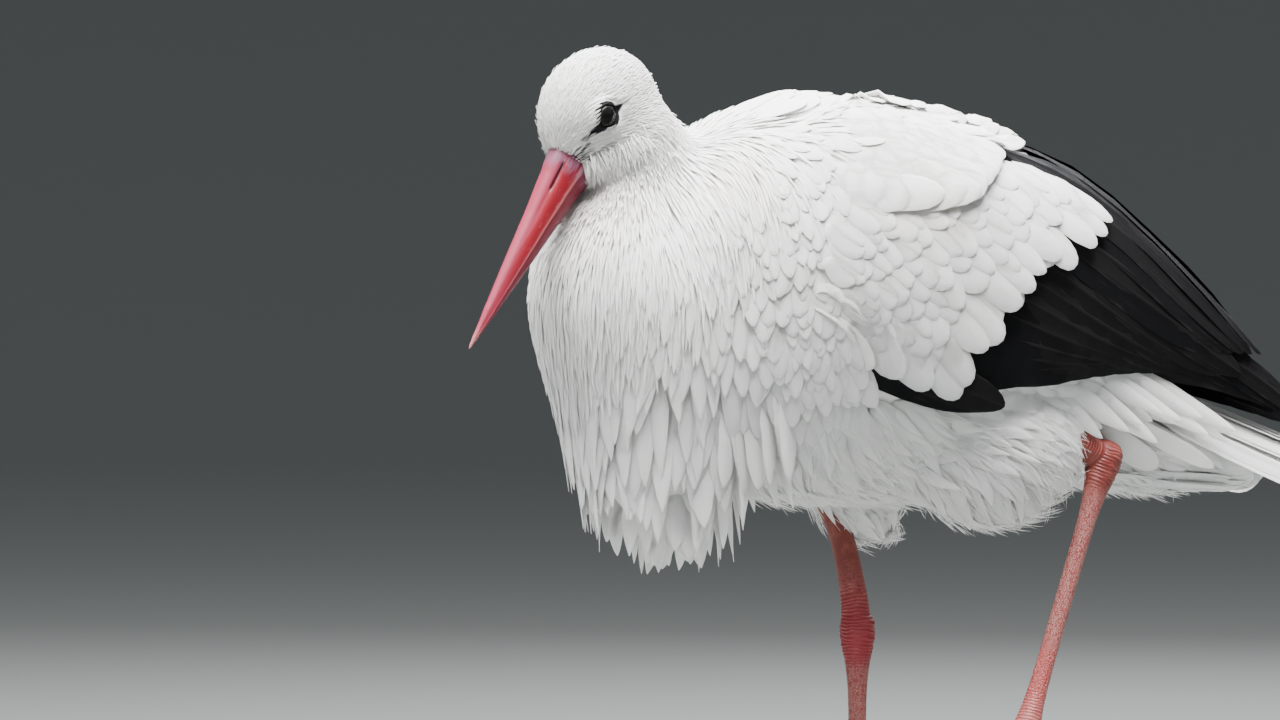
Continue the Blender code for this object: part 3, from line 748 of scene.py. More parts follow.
def vanes(name, lines, ups, half, material, spots, cut=SOFT, tip=0.5, blunt=2.0, camber=0.1, thick=0.0003,
          shares=(0.12, 0.3, 0.5, 0.68, 0.82, 0.92, 0.98), ragged=0.0, soot=0.0):
    """Solid feather blades on centre lines, `cut` across as named, with a ring at each of the `shares` of
    their length. Their edges bend down by `camber` times the half width. The width grows to `half` and closes
    from the share `tip` on as (1 - t^blunt)^(1/blunt), so that 2 gives a round end and 1 a pointed one;
    `ragged` roughens the edges. UV map OFBake holds the root's place on the skin's unwrap, and UV map Vane
    the place across, from -1 to 1, and the length in metres. Attribute tint holds a random number for each
    feather, and soot how black it is."""
    count, shares, cut = len(lines), np.asarray(shares), np.asarray(cut)
    centre = along(lines, shares)
    up = unit(along(ups, shares))
    ahead = unit(along(lines, np.minimum(shares + 0.05, 1.0)) - along(lines, np.maximum(shares - 0.05, 0.0)))
    across = unit(np.cross(ahead, up))
    up = np.cross(across, ahead)
    half, tip, blunt = (column(part, count) for part in (half, tip, blunt))
    closing = np.clip((shares[None] - tip) / (1.0 - tip), 0.0, 1.0)
    width = np.minimum(1.0, (0.25 + shares[None] / 0.45)) * (1.0 - closing**blunt) ** (1.0 / blunt)
    width = (np.maximum(width, 0.03) * half)[..., None]
    side, top = cut[:, 0], cut[:, 1]
    rough = 1.0 + ragged * rng.uniform(-1.0, 1.0, (count, len(shares), len(cut)))
    rings = (
        centre[:, :, None]
        + across[:, :, None] * (width * side * rough)[..., None]
        + up[:, :, None] * (thick * top - camber * width * side**2)[..., None]
    )
    reach = np.linalg.norm(np.diff(lines, axis=1), axis=2).sum(1)
    corners = len(shares) * len(cut) + 2
    vane = np.zeros((count, corners, 2))
    length = shares[None, :, None] * reach[:, None, None]
    vane[:, 1:-1] = np.stack(np.broadcast_arrays(side, length + 0 * side), -1).reshape(count, -1, 2)
    vane[:, -1, 1] = reach
    patch = np.zeros((corners, 2))
    patch[1:-1] = np.stack(np.broadcast_arrays(0.5 * side, shares[:, None] - 0.5), -1).reshape(-1, 2)
    patch[0, 1], patch[-1, 1] = -0.5, 0.5
    maps = [("OFBake", spots[:, None] + patch * SPOT), ("Vane", vane)]
    values = [("tint", np.repeat(rng.random(count), corners))]
    if np.any(soot):
        values.append(("soot", np.repeat(soot, corners)))
    piece = tubes(name, rings, lines[:, 0], lines[:, -1], material, maps, values)
    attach(piece, "root")
    return piece


# Fine barbs run out from the shaft of every feather: a wave along the feather that lags towards the edges.
TINTED = (0.83, 0.82, 0.81)
SHAFT_CREAM = (0.78, 0.74, 0.68)
barbs, barbs_in, barbs_out = group("barbs", [("Pitch", "NodeSocketFloat", 0.0009)], [
    ("Height", "NodeSocketFloat"), ("Shaft", "NodeSocketFloat"), ("Edge", "NodeSocketFloat")])
vane_map = barbs.nodes.new("ShaderNodeUVMap")
vane_map.uv_map = "Vane"
vane_axes = barbs.nodes.new("ShaderNodeSeparateXYZ")
barbs.links.new(vane_map.outputs["UV"], vane_axes.inputs[0])
off_shaft = maths(barbs, "ABSOLUTE", vane_axes.outputs["X"])
lag = maths(barbs, "SUBTRACT", vane_axes.outputs["Y"], times(barbs, off_shaft, 0.012))
phase = times(barbs, maths(barbs, "DIVIDE", lag, barbs_in.outputs["Pitch"]), math.tau)
fray = times(barbs, noise(barbs, 160.0, 3.0), 9.0)
barbs.links.new(maths(barbs, "SINE", maths(barbs, "ADD", phase, fray)), barbs_out.inputs["Height"])
barbs.links.new(ramped(barbs, off_shaft, 0.05, 0.14, 1.0, 0.0), barbs_out.inputs["Shaft"])
barbs.links.new(ramped(barbs, off_shaft, 0.78, 1.0), barbs_out.inputs["Edge"])

white_vane, white_shader = paint("white_vane", WHITE, 0.7, Subsurface_Weight=0.5, Subsurface_Scale=0.006,
                                 Subsurface_Radius=(1.0, 0.95, 0.9))
tree = white_vane.node_tree
white_barbs = placed(tree, barbs)
tint = stored(tree, "tint")
white = placed(tree, plumage).outputs["Colour"]
white = blend(tree, times(tree, ramped(tree, tint, 0.55, 1.0), 0.5), white, TINTED)
white = blend(tree, times(tree, white_barbs.outputs["Shaft"], 0.12), white, SHAFT_CREAM)
white = blend(tree, stored(tree, "soot"), white, BARE_BLACK)
tree.links.new(white, white_shader.inputs["Base Color"])
embossed(tree, white_shader, white_barbs.outputs["Height"], 0.25, 0.00012)

below = -ahead_of(NECK_TOP, skin_points)
bare_depth = inside_strips(skin_points, BARE_STRIPS)
roots, outs, spots = sow(rise(0.012, 0.0, below) * (bare_depth < -0.0002), 0.0013, 3)
count = len(roots)
lines, ups = combed(roots, outs, rng.uniform(0.0055, 0.0085, count), 4, lift=rng.uniform(0.88, 1.08, count))
bristly = rise(-0.0012, 0.0008, inside_strips(roots, BRISTLE_STRIPS)) * (rng.random(count) < 0.62)
soot = np.maximum(bristly, rise(-0.0014, -0.0002, inside_strips(roots, BARE_STRIPS)) * 0.35)
half = rng.uniform(0.0006, 0.0010, count) * mix(1.0, 0.42, bristly)
vanes("head_feathers", lines, ups, half, white_vane, spots, TUFT, tip=0.3, blunt=1.3, thick=0.00018,
      shares=(0.2, 0.55, 0.85), soot=soot)

# Tufts round the head's outline stand up a little.
roots, outs, spots = sow(0.22 * rise(0.022, 0.008, below) * (bare_depth < -0.006), 0.0022, 13)
count = len(roots)
lines, ups = combed(roots, outs, rng.uniform(0.0055, 0.008, count), 4,
                    lift=rng.uniform(1.1, 1.7, count), loose=0.5)
vanes("head_tufts", lines, ups, rng.uniform(0.0007, 0.0011, count), white_vane, spots, TUFT, tip=0.3,
      blunt=1.2, thick=0.00018, shares=(0.2, 0.55, 0.85))

# A soft lobe of cheek and chin feathers ends along a line from the chin up behind the ear, over the neck.
for side, sign in SIDES.items():
    local = from_eye(skin_points, side)
    above = (local[:, 0] - CHEEK_END[0]) * CHEEK_ACROSS[0] + (local[:, 1] - CHEEK_END[1]) * CHEEK_ACROSS[1]
    behind = (local[:, 1] - CHEEK_END[1]) * CHEEK_ACROSS[0] - (local[:, 0] - CHEEK_END[0]) * CHEEK_ACROSS[1]
    band = mix(0.007, 0.013, rise(0.0, 0.018, behind))
    this_side = (skin_points - HEAD_CENTRE) @ HEAD_SIDE * sign > -0.001
    on_cheek = rise(0.0, 0.003, above) * (above < band) * rise(-0.014, -0.006, behind)
    on_cheek = on_cheek * rise(0.056, 0.040, behind) * this_side
    roots, outs, spots = sow(on_cheek, 0.0010, 14)
    count = len(roots)
    heading = -CHEEK_ACROSS[0] * HEAD_AHEAD - CHEEK_ACROSS[1] * UP + 0.25 * rng.normal(0.0, 1.0, (count, 3))
    heading = unit(heading - np.sum(heading * outs, 1)[:, None] * outs)
    t = np.linspace(0.0, 1.0, 6)[None, :, None]
    reach = rng.uniform(0.006, 0.0115, count)[:, None, None]
    stand = rng.uniform(0.0038, 0.0062, count)[:, None, None]
    lines = roots[:, None] + heading[:, None] * reach * t + outs[:, None] * stand * t**0.6 - 0.004 * t**2 * UP
    vanes(f"cheek_feathers_{side}", lines, outs[:, None] + 0 * lines, rng.uniform(0.0005, 0.0008, count),
          white_vane, spots, TUFT, tip=0.3, blunt=1.2, thick=0.00018, shares=(0.2, 0.55, 0.85))


# --- Neck and breast feathers -------------------------------------------------------------------------------
# Hair-like feathers run down the neck and grow longer and wider into the breast ruff, whose pointed, loose
# feathers end in a ragged fringe in front of the legs.
FRINGE_LOW = 0.258  # how far down the fringe hangs
FRINGE_AT = -0.145  # the y of its middle
roots, outs, spots = sow(rise(-0.006, 0.004, below) * rise(0.085, 0.045, below), 0.0024, 4)
count = len(roots)
down_neck = rise(0.0, 0.07, -ahead_of(NECK_TOP, roots))
lines, ups = combed(roots, outs, mix(0.013, 0.046, down_neck) * rng.uniform(0.8, 1.2, count), 6,
                    lift=rng.uniform(0.86, 1.04, count), turn=rng.normal(0.0, 0.05, count))
vanes("neck_feathers", lines, ups, mix(0.0009, 0.0026, down_neck), white_vane, spots, TUFT, tip=0.25,
      blunt=1.2, shares=(0.12, 0.3, 0.5, 0.7, 0.9))

breast = rise(0.03, 0.06, below) * rise(-0.035, -0.005, ahead_of(BREAST_BACK, skin_points))
open_edge = rise(-0.105, -0.085, skin_points[:, 1]) * rise(0.41, 0.39, skin_points[:, 2])
breast = breast * (1 - open_edge)
roots, outs, spots = sow(breast * mix(1.0, 0.40, rise(0.48, 0.38, skin_points[:, 2])), 0.0066, 5)
count = len(roots)
low = rise(0.49, 0.38, roots[:, 2])
beside = rise(-0.17, -0.10, roots[:, 1]) * rise(0.36, 0.39, roots[:, 2])
wide = mix(mix(0.0042, 0.0082, low), 0.0105, beside) * rng.uniform(0.8, 1.2, count)
reach = mix(0.046, 0.074, low) * rng.uniform(0.85, 1.1, count)
lines, ups = combed(roots, outs, mix(reach, 0.050, beside), 7, lift=rng.uniform(0.88, 1.02, count),
                    loose=mix(0.5, 0.1, beside), sag=0.3, turn=rng.normal(0.0, 0.08, count))

# Where the ruff turns under, its feathers leave the skin and hang, no two of one length, towards its middle.
from_middle = np.hypot(roots[:, 0], roots[:, 1] - FRINGE_AT)
fringe = FRINGE_LOW + 0.65 * np.maximum(0.0, from_middle - 0.027) + 0.028 * rng.random(count) ** 1.5 - 0.004
reach = np.clip(roots[:, 2] - fringe, 0.022, reach)[:, None, None]
level = np.array([1.0, 1.0, 0.0])
around = unit(roots * level - [0.0, FRINGE_AT, 0.0] + rng.normal(0.0, 0.008, (count, 3)) * level)
t = np.linspace(0.0, 1.0, 8)[None, :, None]
swing = rng.normal(0.0, 0.06, (count, 1, 1)) * np.cross(around, UP)[:, None] - 0.24 * around[:, None]
swing = swing + 0.20 * rise(-0.15, -0.09, roots[:, 1])[:, None, None] * np.array([0.0, 1.0, 0.0])
stand = rng.uniform(0.008, 0.013, (count, 1, 1)) * t**0.8 - 0.003 * (1 - t)
hung = roots[:, None] + stand * around[:, None] + reach * (swing * t**1.4 - t * UP)
hang = rise(0.20, -0.25, outs[:, 2])[:, None, None] * rise(0.42, 0.38, roots[:, 2])[:, None, None]
lines, ups = mix(lines, hung, hang), unit(mix(ups, around[:, None] + 0 * ups, hang))
vanes("breast_feathers", lines, ups, wide, white_vane, spots, SOFT, tip=rng.uniform(0.35, 0.55, count),
      blunt=mix(rng.uniform(1.15, 1.5, count), 1.9, beside), camber=0.10, thick=0.00024, ragged=0.06,
      shares=(0.10, 0.25, 0.42, 0.58, 0.72, 0.84, 0.93, 0.985))


# --- Body feathers ------------------------------------------------------------------------------------------
# Broad, soft, round-ended feathers lie close over shoulder, flank and back, so that few of their edges show.
# Under the belly and on the thighs they turn loose and downy, with fine hairs at their ends.
x, y, z = skin_points.T
body = rise(0.012, -0.025, ahead_of(BREAST_BACK, skin_points))
under_wing = rise(-0.075, -0.055, y) * rise(0.366, 0.380, z) * rise(0.553, 0.538, z)
under_wing = under_wing * np.maximum(rise(0.035, 0.050, np.abs(x)), rise(0.060, 0.072, y))
rear = y + (z > 0.45) * (0.094 + 1.2 * np.maximum(0.0, np.abs(x) - 0.020))  # the back ends earlier
close_lying = body * rise(0.345, 0.36, z) * (1 - under_wing) * rise(0.17, 0.15, rear)
roots, outs, spots = sow(close_lying, 0.0066, 6)
count = len(roots)
from_breast = rise(0.0, -0.06, ahead_of(BREAST_BACK, roots))
lines, ups = combed(roots, outs, mix(0.030, 0.048, from_breast) * rng.uniform(0.9, 1.1, count), 6,
                    lift=rng.uniform(0.88, 1.02, count), loose=0.12, turn=rng.normal(0.0, 0.06, count))
vanes("body_feathers", lines, ups, mix(0.0062, 0.0120, from_breast) * rng.uniform(0.85, 1.15, count),
      white_vane, spots, SOFT, tip=mix(0.35, 0.48, from_breast), blunt=mix(1.5, 1.9, from_breast),
      camber=0.06, thick=0.00022, ragged=0.03)

# Mantle feathers close the back over the inner edges of both scapular lobes.
on_back = body * rise(0.032, 0.024, np.abs(x)) * rise(-0.12, -0.10, y) * rise(0.080, 0.070, y) * (z > 0.50)
roots, outs, spots = sow(on_back, 0.0072, 16)
count = len(roots)
lines, ups = combed(roots, outs, rng.uniform(0.042, 0.052, count), 6, loose=0.1,
                    lift=mix(1.46, 1.18, rise(0.015, 0.055, roots[:, 1])) + rng.uniform(-0.06, 0.06, count),
                    turn=rng.normal(0.0, 0.04, count))
vanes("mantle_feathers", lines, ups, rng.uniform(0.0105, 0.0130, count), white_vane, spots, SOFT, tip=0.5,
      blunt=1.9, camber=0.16, thick=0.00022, ragged=0.03)

# Belly feathers are narrow, pointed and loose.
roots, outs, spots = sow(body * rise(0.375, 0.355, z), 0.0052, 7)
count = len(roots)
lines, ups = combed(roots, outs, rng.uniform(0.032, 0.050, count), 6,
                    lift=rng.uniform(0.7, 1.25, count), loose=0.7, turn=rng.normal(0.0, 0.16, count))
vanes("belly_feathers", lines, ups, rng.uniform(0.0035, 0.0065, count), white_vane, spots, SOFT, tip=0.3,
      blunt=1.3, camber=0.1, ragged=0.1)

# Hairs of down stand out between them and end past them.
roots, outs, spots = sow(body * rise(0.375, 0.345, z), 0.0034, 8)
count = len(roots)
lines, ups = combed(roots, outs, rng.uniform(0.030, 0.054, count), 5,
                    lift=rng.uniform(0.9, 1.5, count), loose=0.85, turn=rng.normal(0.0, 0.30, count), sag=0.2)
vanes("down_hairs", lines, ups, 0.00028, white_vane, spots, NEEDLE, tip=0.4, blunt=1.0, camber=0.0,
      thick=0.0002, shares=(0.2, 0.45, 0.7, 0.9))


# --- Folded wings -------------------------------------------------------------------------------------------
# The flight feathers are black, glossy quills with pale edges, partly wear and partly a painted highlight, laid
# over each other like a closed fan on a dark lining. Rows of white coverts, small in front and large behind,
# cover their roots, and a lobe of long scapulars lies over both. Every feather lies on the outer face of the
# wing's solids.
QUILL_BLACK = (0.0055, 0.0055, 0.0065)
QUILL_TINT = (0.010, 0.0095, 0.010)
QUILL_SHAFT = (0.024, 0.022, 0.021)
# the pale edge colour: partly wear, partly a painted highlight along the feather edges
QUILL_EDGE_WEAR_AND_HIGHLIGHT = (0.030, 0.026, 0.025)
WING_BLACK = [  # y, z in side view: the black part's edge, from the wrist backwards and up over the back
    (-0.066, 0.400), (-0.045, 0.388), (0.0, 0.374), (0.045, 0.372), (0.11, 0.379), (0.20, 0.389),
    (0.27, 0.381), (0.33, 0.362), (0.352, 0.358), (0.335, 0.388), (0.26, 0.462), (0.172, 0.528),
    (0.11, 0.556), (0.07, 0.556), (0.06, 0.500), (0.03, 0.430), (-0.03, 0.410)]
WING_MIDDLE = (0.12, 0.425)
QUILLS = {  # how many, then at both ends of the set: root, bend and tip in side view, half width and height
    "wrist_quills": (3, [(-0.085, 0.402), (-0.055, 0.406)], [(-0.045, 0.384), (-0.015, 0.386)],
                     [(0.040, 0.361), (0.058, 0.364)], (0.011, 0.0135), (-0.001, 0.001)),
    "primaries": (7, [(0.10, 0.400), (0.16, 0.430)], [(0.19, 0.388), (0.27, 0.412)],
                  [(0.275, 0.380), (0.357, 0.350)], (0.0105, 0.0105), (-0.005, -0.0015)),
    "secondaries": (9, [(0.002, 0.396), (0.10, 0.492)], [(0.070, 0.379), (0.175, 0.440)],
                    [(0.150, 0.392), (0.287, 0.383)], (0.0120, 0.0150), (-0.004, 0.0)),
    "tertials": (7, [(0.06, 0.495), (0.085, 0.556)], [(0.155, 0.450), (0.185, 0.547)],
                 [(0.260, 0.400), (0.318, 0.394)], (0.0165, 0.0165), (0.0, 0.0025)),
}
QUILL_SHARES = (0.02, 0.1, 0.22, 0.36, 0.5, 0.63, 0.75, 0.84, 0.91, 0.96, 0.99)
CHART_LEVEL = 0.440  # the height of the wing's long axis
CHART_ROW = 0.005  # how far apart the rows of a side chart are
CHART_COLUMNS = 40


def side_chart(nodes, first_row):
    """The outer face of solids on the bird's left as a grid: one row for each y, columns from low to high.
    Rays come in from all round the wing's long axis, which falls behind the hip. Gives the rows' y, the grid
    and its outward directions."""
    form = merged("side_form", nodes)
    tree = BVHTree.FromObject(form, bpy.context.evaluated_depsgraph_get())
    bpy.data.objects.remove(form, do_unlink=True)
    turn = np.radians(np.linspace(-58.0, 89.0, 100))
    rows = np.arange(first_row, 0.357, CHART_ROW)
    grid = np.empty((len(rows), CHART_COLUMNS, 3))
    aims = np.stack([np.cos(turn), 0 * turn, np.sin(turn)], 1)
    for row, y in enumerate(rows):
        middle = CHART_LEVEL - 0.093 * max(0.0, (y - 0.05) / 0.31) ** 1.3
        starts = np.array([0.0, y, middle]) + 0.25 * aims
        hits = [tree.ray_cast(start, -way, 0.25)[0] for start, way in zip(starts, aims)]
        found = np.array([hit for hit in hits if hit is not None])
        reach = np.concatenate([[0.0], np.cumsum(np.linalg.norm(np.diff(found, axis=0), axis=1))])
        even = np.linspace(0.0, reach[-1], CHART_COLUMNS)
        grid[row] = np.stack([np.interp(even, reach, found[:, axis]) for axis in range(3)], 1)
    for _ in range(3):
        grid[1:-1] = 0.25 * (grid[:-2] + grid[2:]) + 0.5 * grid[1:-1]
        grid[:, 1:-1] = 0.25 * (grid[:, :-2] + grid[:, 2:]) + 0.5 * grid[:, 1:-1]
    return rows, grid, unit(np.cross(np.gradient(grid, axis=0), np.gradient(grid, axis=1)))


wing_side = side_chart(["wing_coverts_l", "wing_flight_l"], -0.080)
whole_side = side_chart(FLESH + ["wing_flight_l"], -0.150)


def on_side(chart, y, z):
    """Places and outward directions on a side chart for side-view places (y, z), any shape of array."""
    rows, grid, out = chart
    row = np.clip((y - rows[0]) / (rows[1] - rows[0]), 0.0, len(rows) - 1.001)
    first = row.astype(int)
    part = (row - first)[..., None, None]
    section, normals = (mix(rows_of[first], rows_of[first + 1], part) for rows_of in (grid, out))
    heights = np.maximum.accumulate(section[..., 2], axis=-1) + np.arange(CHART_COLUMNS) * 1e-9
    column_low = np.clip((heights < z[..., None]).sum(-1) - 1, 0, CHART_COLUMNS - 2)[..., None, None]
    low, high = (np.take_along_axis(section, column_low + k, axis=-2)[..., 0, :] for k in (0, 1))
    share = np.clip((z - low[..., 2]) / np.maximum(high[..., 2] - low[..., 2], 1e-6), 0.0, 1.0)[..., None]
    place = mix(low, high, share)
    place[..., 1] = y
    missed = z - place[..., 2]
    place[..., 2] += missed * (missed < 0)
    low, high = (np.take_along_axis(normals, column_low + k, axis=-2)[..., 0, :] for k in (0, 1))
    return place, unit(mix(low, high, share))


def bowed(start, middle, end, steps):
    """Quadratic curves between rows of side-view places: (1-t)^2 a + 2t(1-t) b + t^2 c."""
    t = np.linspace(0.0, 1.0, steps)[None, :, None]
    start, middle, end = (np.asarray(part, float)[:, None] for part in (start, middle, end))
    return (1 - t) ** 2 * start + 2 * t * (1 - t) * middle + t**2 * end


def between(keys, shares):
    """Places on the smooth Catmull-Rom curve through the key rows, at shares of the keys' own numbering."""
    keys = np.asarray(keys, float)
    padded = np.vstack([2 * keys[0] - keys[1], keys, 2 * keys[-1] - keys[-2]])
    place = np.clip(np.asarray(shares, float), 0.0, 1.0) * (len(keys) - 1.0)
    first = np.minimum(place.astype(int), len(keys) - 2)
    t = (place - first)[..., None]
    a, b, c, d = (padded[first + k] for k in range(4))
    return 0.5 * (2 * b + (c - a) * t + (2 * a - 5 * b + 4 * c - d) * t**2 + (3 * b - a - 3 * c + d) * t**3)


def spaced(ends, shares):
    """Side-view places between two ends, at shares of the way."""
    return np.outer(1 - shares, ends[0]) + np.outer(shares, ends[1])


def raised(chart, paths, low, high, bulge=0.0):
    """Side-view paths laid on a side chart, standing off it by `low` at the root, by `high` at the tip and by
    `bulge` more half way."""
    places, outs = on_side(chart, paths[..., 0], paths[..., 1])
    share = np.linspace(0.0, 1.0, paths.shape[1])[None, :, None]
    low, high = (column(part, len(paths))[..., None] for part in (low, high))
    return places + outs * (mix(low, high, share) + bulge * share * (1 - share) * 4), outs


def on_both(name, lines, ups, half, material, **cut):
    """The same feathers on the left wing and, mirrored, on the right one; gives both pieces."""
    pieces = {}
    for side, sign in SIDES.items():
        flip = np.array([sign, 1.0, 1.0])
        spots = snap_spots(lines[:, 0] * flip)
        pieces[side] = vanes(f"{name}_{side}", lines * flip, ups * flip, half, material, spots, **cut)
    return pieces


def snap_spots(points):
    """The places on the skin's unwrap nearest to some points."""
    tree = BVHTree.FromObject(skin, bpy.context.evaluated_depsgraph_get())
    layer = skin.data.uv_layers["OFBake"].uv
    starts = [tree.find_nearest(point)[2] for point in points]
    loops = [skin.data.polygons[index].loop_start for index in starts]
    return np.array([layer[loop].vector for loop in loops])


black_vane, black_shader = paint("black_vane", QUILL_BLACK, 0.7, Specular_IOR_Level=0.06)
tree = black_vane.node_tree
black_barbs = placed(tree, barbs)
colour = blend(tree, ramped(tree, stored(tree, "tint"), 0.2, 1.0), QUILL_BLACK, QUILL_TINT)
# Pale edges, patchy along each feather: partly wear and partly a painted highlight.
worn_and_lit_edge = ramped(tree, noise(tree, 40.0, 2.0), 0.45, 0.7, 0.0, 0.6)
worn_and_lit_edge = times(tree, worn_and_lit_edge, black_barbs.outputs["Edge"])
colour = blend(tree, worn_and_lit_edge, colour, QUILL_EDGE_WEAR_AND_HIGHLIGHT)
colour = blend(tree, times(tree, black_barbs.outputs["Shaft"], 0.3), colour, QUILL_SHAFT)
tree.links.new(colour, black_shader.inputs["Base Color"])
tree.links.new(ramped(tree, noise(tree, 45.0, 3.0), 0.3, 0.7, 0.60, 0.80), black_shader.inputs["Roughness"])
embossed(tree, black_shader, black_barbs.outputs["Height"], 0.35, 0.00012)

for quill_name, (count, start, bend_at, end, halves, heights) in QUILLS.items():
    t = np.linspace(0.0, 1.0, count)
    lift = mix(*heights, t)
    paths = bowed(spaced(start, t), spaced(bend_at, t), spaced(end, t), 15)
    lines, ups = raised(wing_side, paths, lift - 0.003, lift)
    pieces = on_both(quill_name, lines, ups, mix(*halves, t), black_vane, cut=SHAFTED, tip=0.70, blunt=1.8,
                     camber=0.06, thick=0.0005, shares=QUILL_SHARES)
    for side, piece in pieces.items():
        if quill_name == "secondaries":
            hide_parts(f"wing_flight_{side}")

# The lining closes the folded wing behind the quills: a dark plate 2 mm thick, under the wing's face.
LINING_DEPTHS = (0.0045, 0.0065)  # of its two faces
LINING_AROUND = 72
LINING_RINGS = 12  # from the middle out, on each face
outline = between(WING_BLACK + WING_BLACK[:1], np.linspace(0.0, 1.0, LINING_AROUND + 1))[:-1, None]
fan = mix(np.array(WING_MIDDLE), outline, np.linspace(0.04, 0.985, LINING_RINGS)[None, :, None])
ones = np.ones((2 * LINING_RINGS * LINING_AROUND + 2, 2))
for side, sign in SIDES.items():
    flip = np.array([sign, 1.0, 1.0])
    places, outs = on_side(wing_side, fan[..., 0], fan[..., 1])
    front, back = (places - depth * outs for depth in LINING_DEPTHS)
    sheet = np.concatenate([front.transpose(1, 0, 2), back.transpose(1, 0, 2)[::-1]]) * flip
    if sign < 0:
        sheet = sheet[:, ::-1]
    lining = tubes(f"wing_lining_{side}", sheet[None], sheet[0].mean(0)[None], sheet[-1].mean(0)[None],
                   black_vane, [("OFBake", 0.5 * ones), ("Vane", 0.4 * ones)])
    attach(lining, "root")

# The coverts lie in rows from the wing's front edge to the scalloped one; y and z in side view.
COVERT_FRONT = [(0.045, 0.525), (-0.02, 0.505), (-0.056, 0.470), (-0.068, 0.435), (-0.072, 0.405)]
COVERT_EDGE = [(0.154, 0.488), (0.106, 0.464), (0.070, 0.443)]
COVERT_EDGE += [(0.040, 0.408), (0.014, 0.380), (-0.045, 0.391)]
COVERT_ROWS = 8
COVERT_ENDS = [  # y, z, half width: the ends of the last row, whose lobes stand out against the black
    (0.158, 0.485, 0.0095), (0.149, 0.477, 0.0105), (0.135, 0.470, 0.0110), (0.112, 0.457, 0.0125),
    (0.098, 0.462, 0.0120), (0.082, 0.452, 0.0110), (0.072, 0.441, 0.0120), (0.060, 0.430, 0.0115),
    (0.046, 0.408, 0.0135), (0.034, 0.402, 0.0120), (0.024, 0.380, 0.0130), (0.017, 0.371, 0.0125),
    (-0.006, 0.377, 0.0130), (-0.026, 0.385, 0.0125), (-0.046, 0.391, 0.0115)]
paths, half, high = [], [], []
for row in range(COVERT_ROWS):
    a = ((row + 0.3) / COVERT_ROWS) ** 1.15
    wide = mix(0.0078, 0.0155, a)
    edge = mix(between(COVERT_FRONT, np.linspace(0, 1, 30)), between(COVERT_EDGE, np.linspace(0, 1, 30)), a)
    number = int(np.linalg.norm(np.diff(edge, axis=0), axis=1).sum() / (1.05 * wide))
    b = (np.arange(number) + 0.5 * (row % 2) + 0.25) / number + rng.uniform(-0.3, 0.3, number) / number
    near, far = between(COVERT_FRONT, b), between(COVERT_EDGE, b)
    ahead = unit(unit(far - near) + np.array([0.05, -0.35]) + rng.normal(0.0, 0.07, (number, 2)))
    tips_at = mix(near, far, a) + ahead * rng.normal(0.0, 0.0045 + 0.0035 * a, number)[:, None]
    long = mix(0.026, 0.056, a) * rng.uniform(0.85, 1.2, number)
    from_at = tips_at - ahead * long[:, None]
    paths.append(bowed(from_at, 0.5 * (from_at + tips_at) + rng.normal(0, 0.001, (number, 2)), tips_at, 7))
    half.append(wide * rng.uniform(0.8, 1.25, number))
    high.append(mix(0.0012, 0.0030, a) * rng.uniform(0.8, 1.2, number))
ends = np.array(COVERT_ENDS)
nearest = between(COVERT_FRONT, np.linspace(0.0, 1.0, len(ends)))
ahead = unit(unit(ends[:, :2] - nearest) + np.array([0.05, -0.35]))
paths.append(bowed(ends[:, :2] - 0.058 * ahead, ends[:, :2] - 0.029 * ahead, ends[:, :2], 7))
half.append(ends[:, 2])
high.append(np.linspace(0.0052, 0.0044, len(ends)))
paths, half, high = (np.concatenate(part) for part in (paths, half, high))
lines, ups = raised(wing_side, paths, -0.0012, high)
pieces = on_both("covert_feathers", lines, ups, half, white_vane, tip=rng.uniform(0.42, 0.66, len(half)),
                 blunt=rng.uniform(1.8, 2.3, len(half)), camber=0.10, thick=0.00022, ragged=0.05)
for side, piece in pieces.items():
    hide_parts(f"wing_coverts_{side}")

# The scapular lobe: its feathers run back along it, so that their long sides make its smooth lower edge.
LOBE_LOW = [(-0.110, 0.505), (-0.056, 0.504), (-0.015, 0.5015), (0.034, 0.505)]  # y, z from the shoulder back
LOBE_HIGH = [(-0.110, 0.566), (-0.050, 0.560), (0.015, 0.546), (0.078, 0.532)]
LOBE_ROWS = 7
LOBE_IN_ROW = 9
LOBE_POINTS = [  # root, tip and half width of the two narrow feathers at the lobe's end
    ((0.022, 0.548), (0.092, 0.5375), 0.0060),
    ((0.010, 0.552), (0.080, 0.541), 0.0075),
]
paths, half, high = [], [], []
for row in range(LOBE_ROWS):
    a = 0.50 + 0.48 * row / (LOBE_ROWS - 1)
    b = (np.arange(LOBE_IN_ROW) + 0.5 * (row % 2)) / (LOBE_IN_ROW - 0.5)
    s = np.clip(a + rng.normal(0.0, 0.012, LOBE_IN_ROW) + 0.03 * np.sin(math.pi * b), 0.0, 1.03)
    tips_at = mix(between(LOBE_LOW, s), between(LOBE_HIGH, s), b[:, None])
    back = mix(between(LOBE_LOW, s - 0.3), between(LOBE_HIGH, s - 0.3), b[:, None])
    ahead = unit(unit(tips_at - back) + rng.normal(0.0, 0.04, (LOBE_IN_ROW, 2)))
    long = rng.uniform(0.060, 0.078, LOBE_IN_ROW)
    from_at = tips_at - ahead * long[:, None]
    paths.append(bowed(from_at, 0.5 * (from_at + tips_at) + [0, 0.002], tips_at, 8))
    half.append(mix(0.0115, 0.0135, a) * rng.uniform(0.85, 1.15, LOBE_IN_ROW))
    tall = mix(0.0015, 0.0080, (a - 0.5) / 0.48) * rng.uniform(0.9, 1.1, LOBE_IN_ROW)
    high.append(tall * (1.0 - 0.75 * b**2))
for from_at, tip_at, wide in LOBE_POINTS:
    bend_at = 0.5 * np.add(from_at, tip_at) + [0, 0.002]
    paths.append(bowed([from_at], [bend_at], [tip_at], 8))
    half.append([wide])
    high.append([0.004])
paths, half, high = (np.concatenate(part) for part in (paths, half, high))
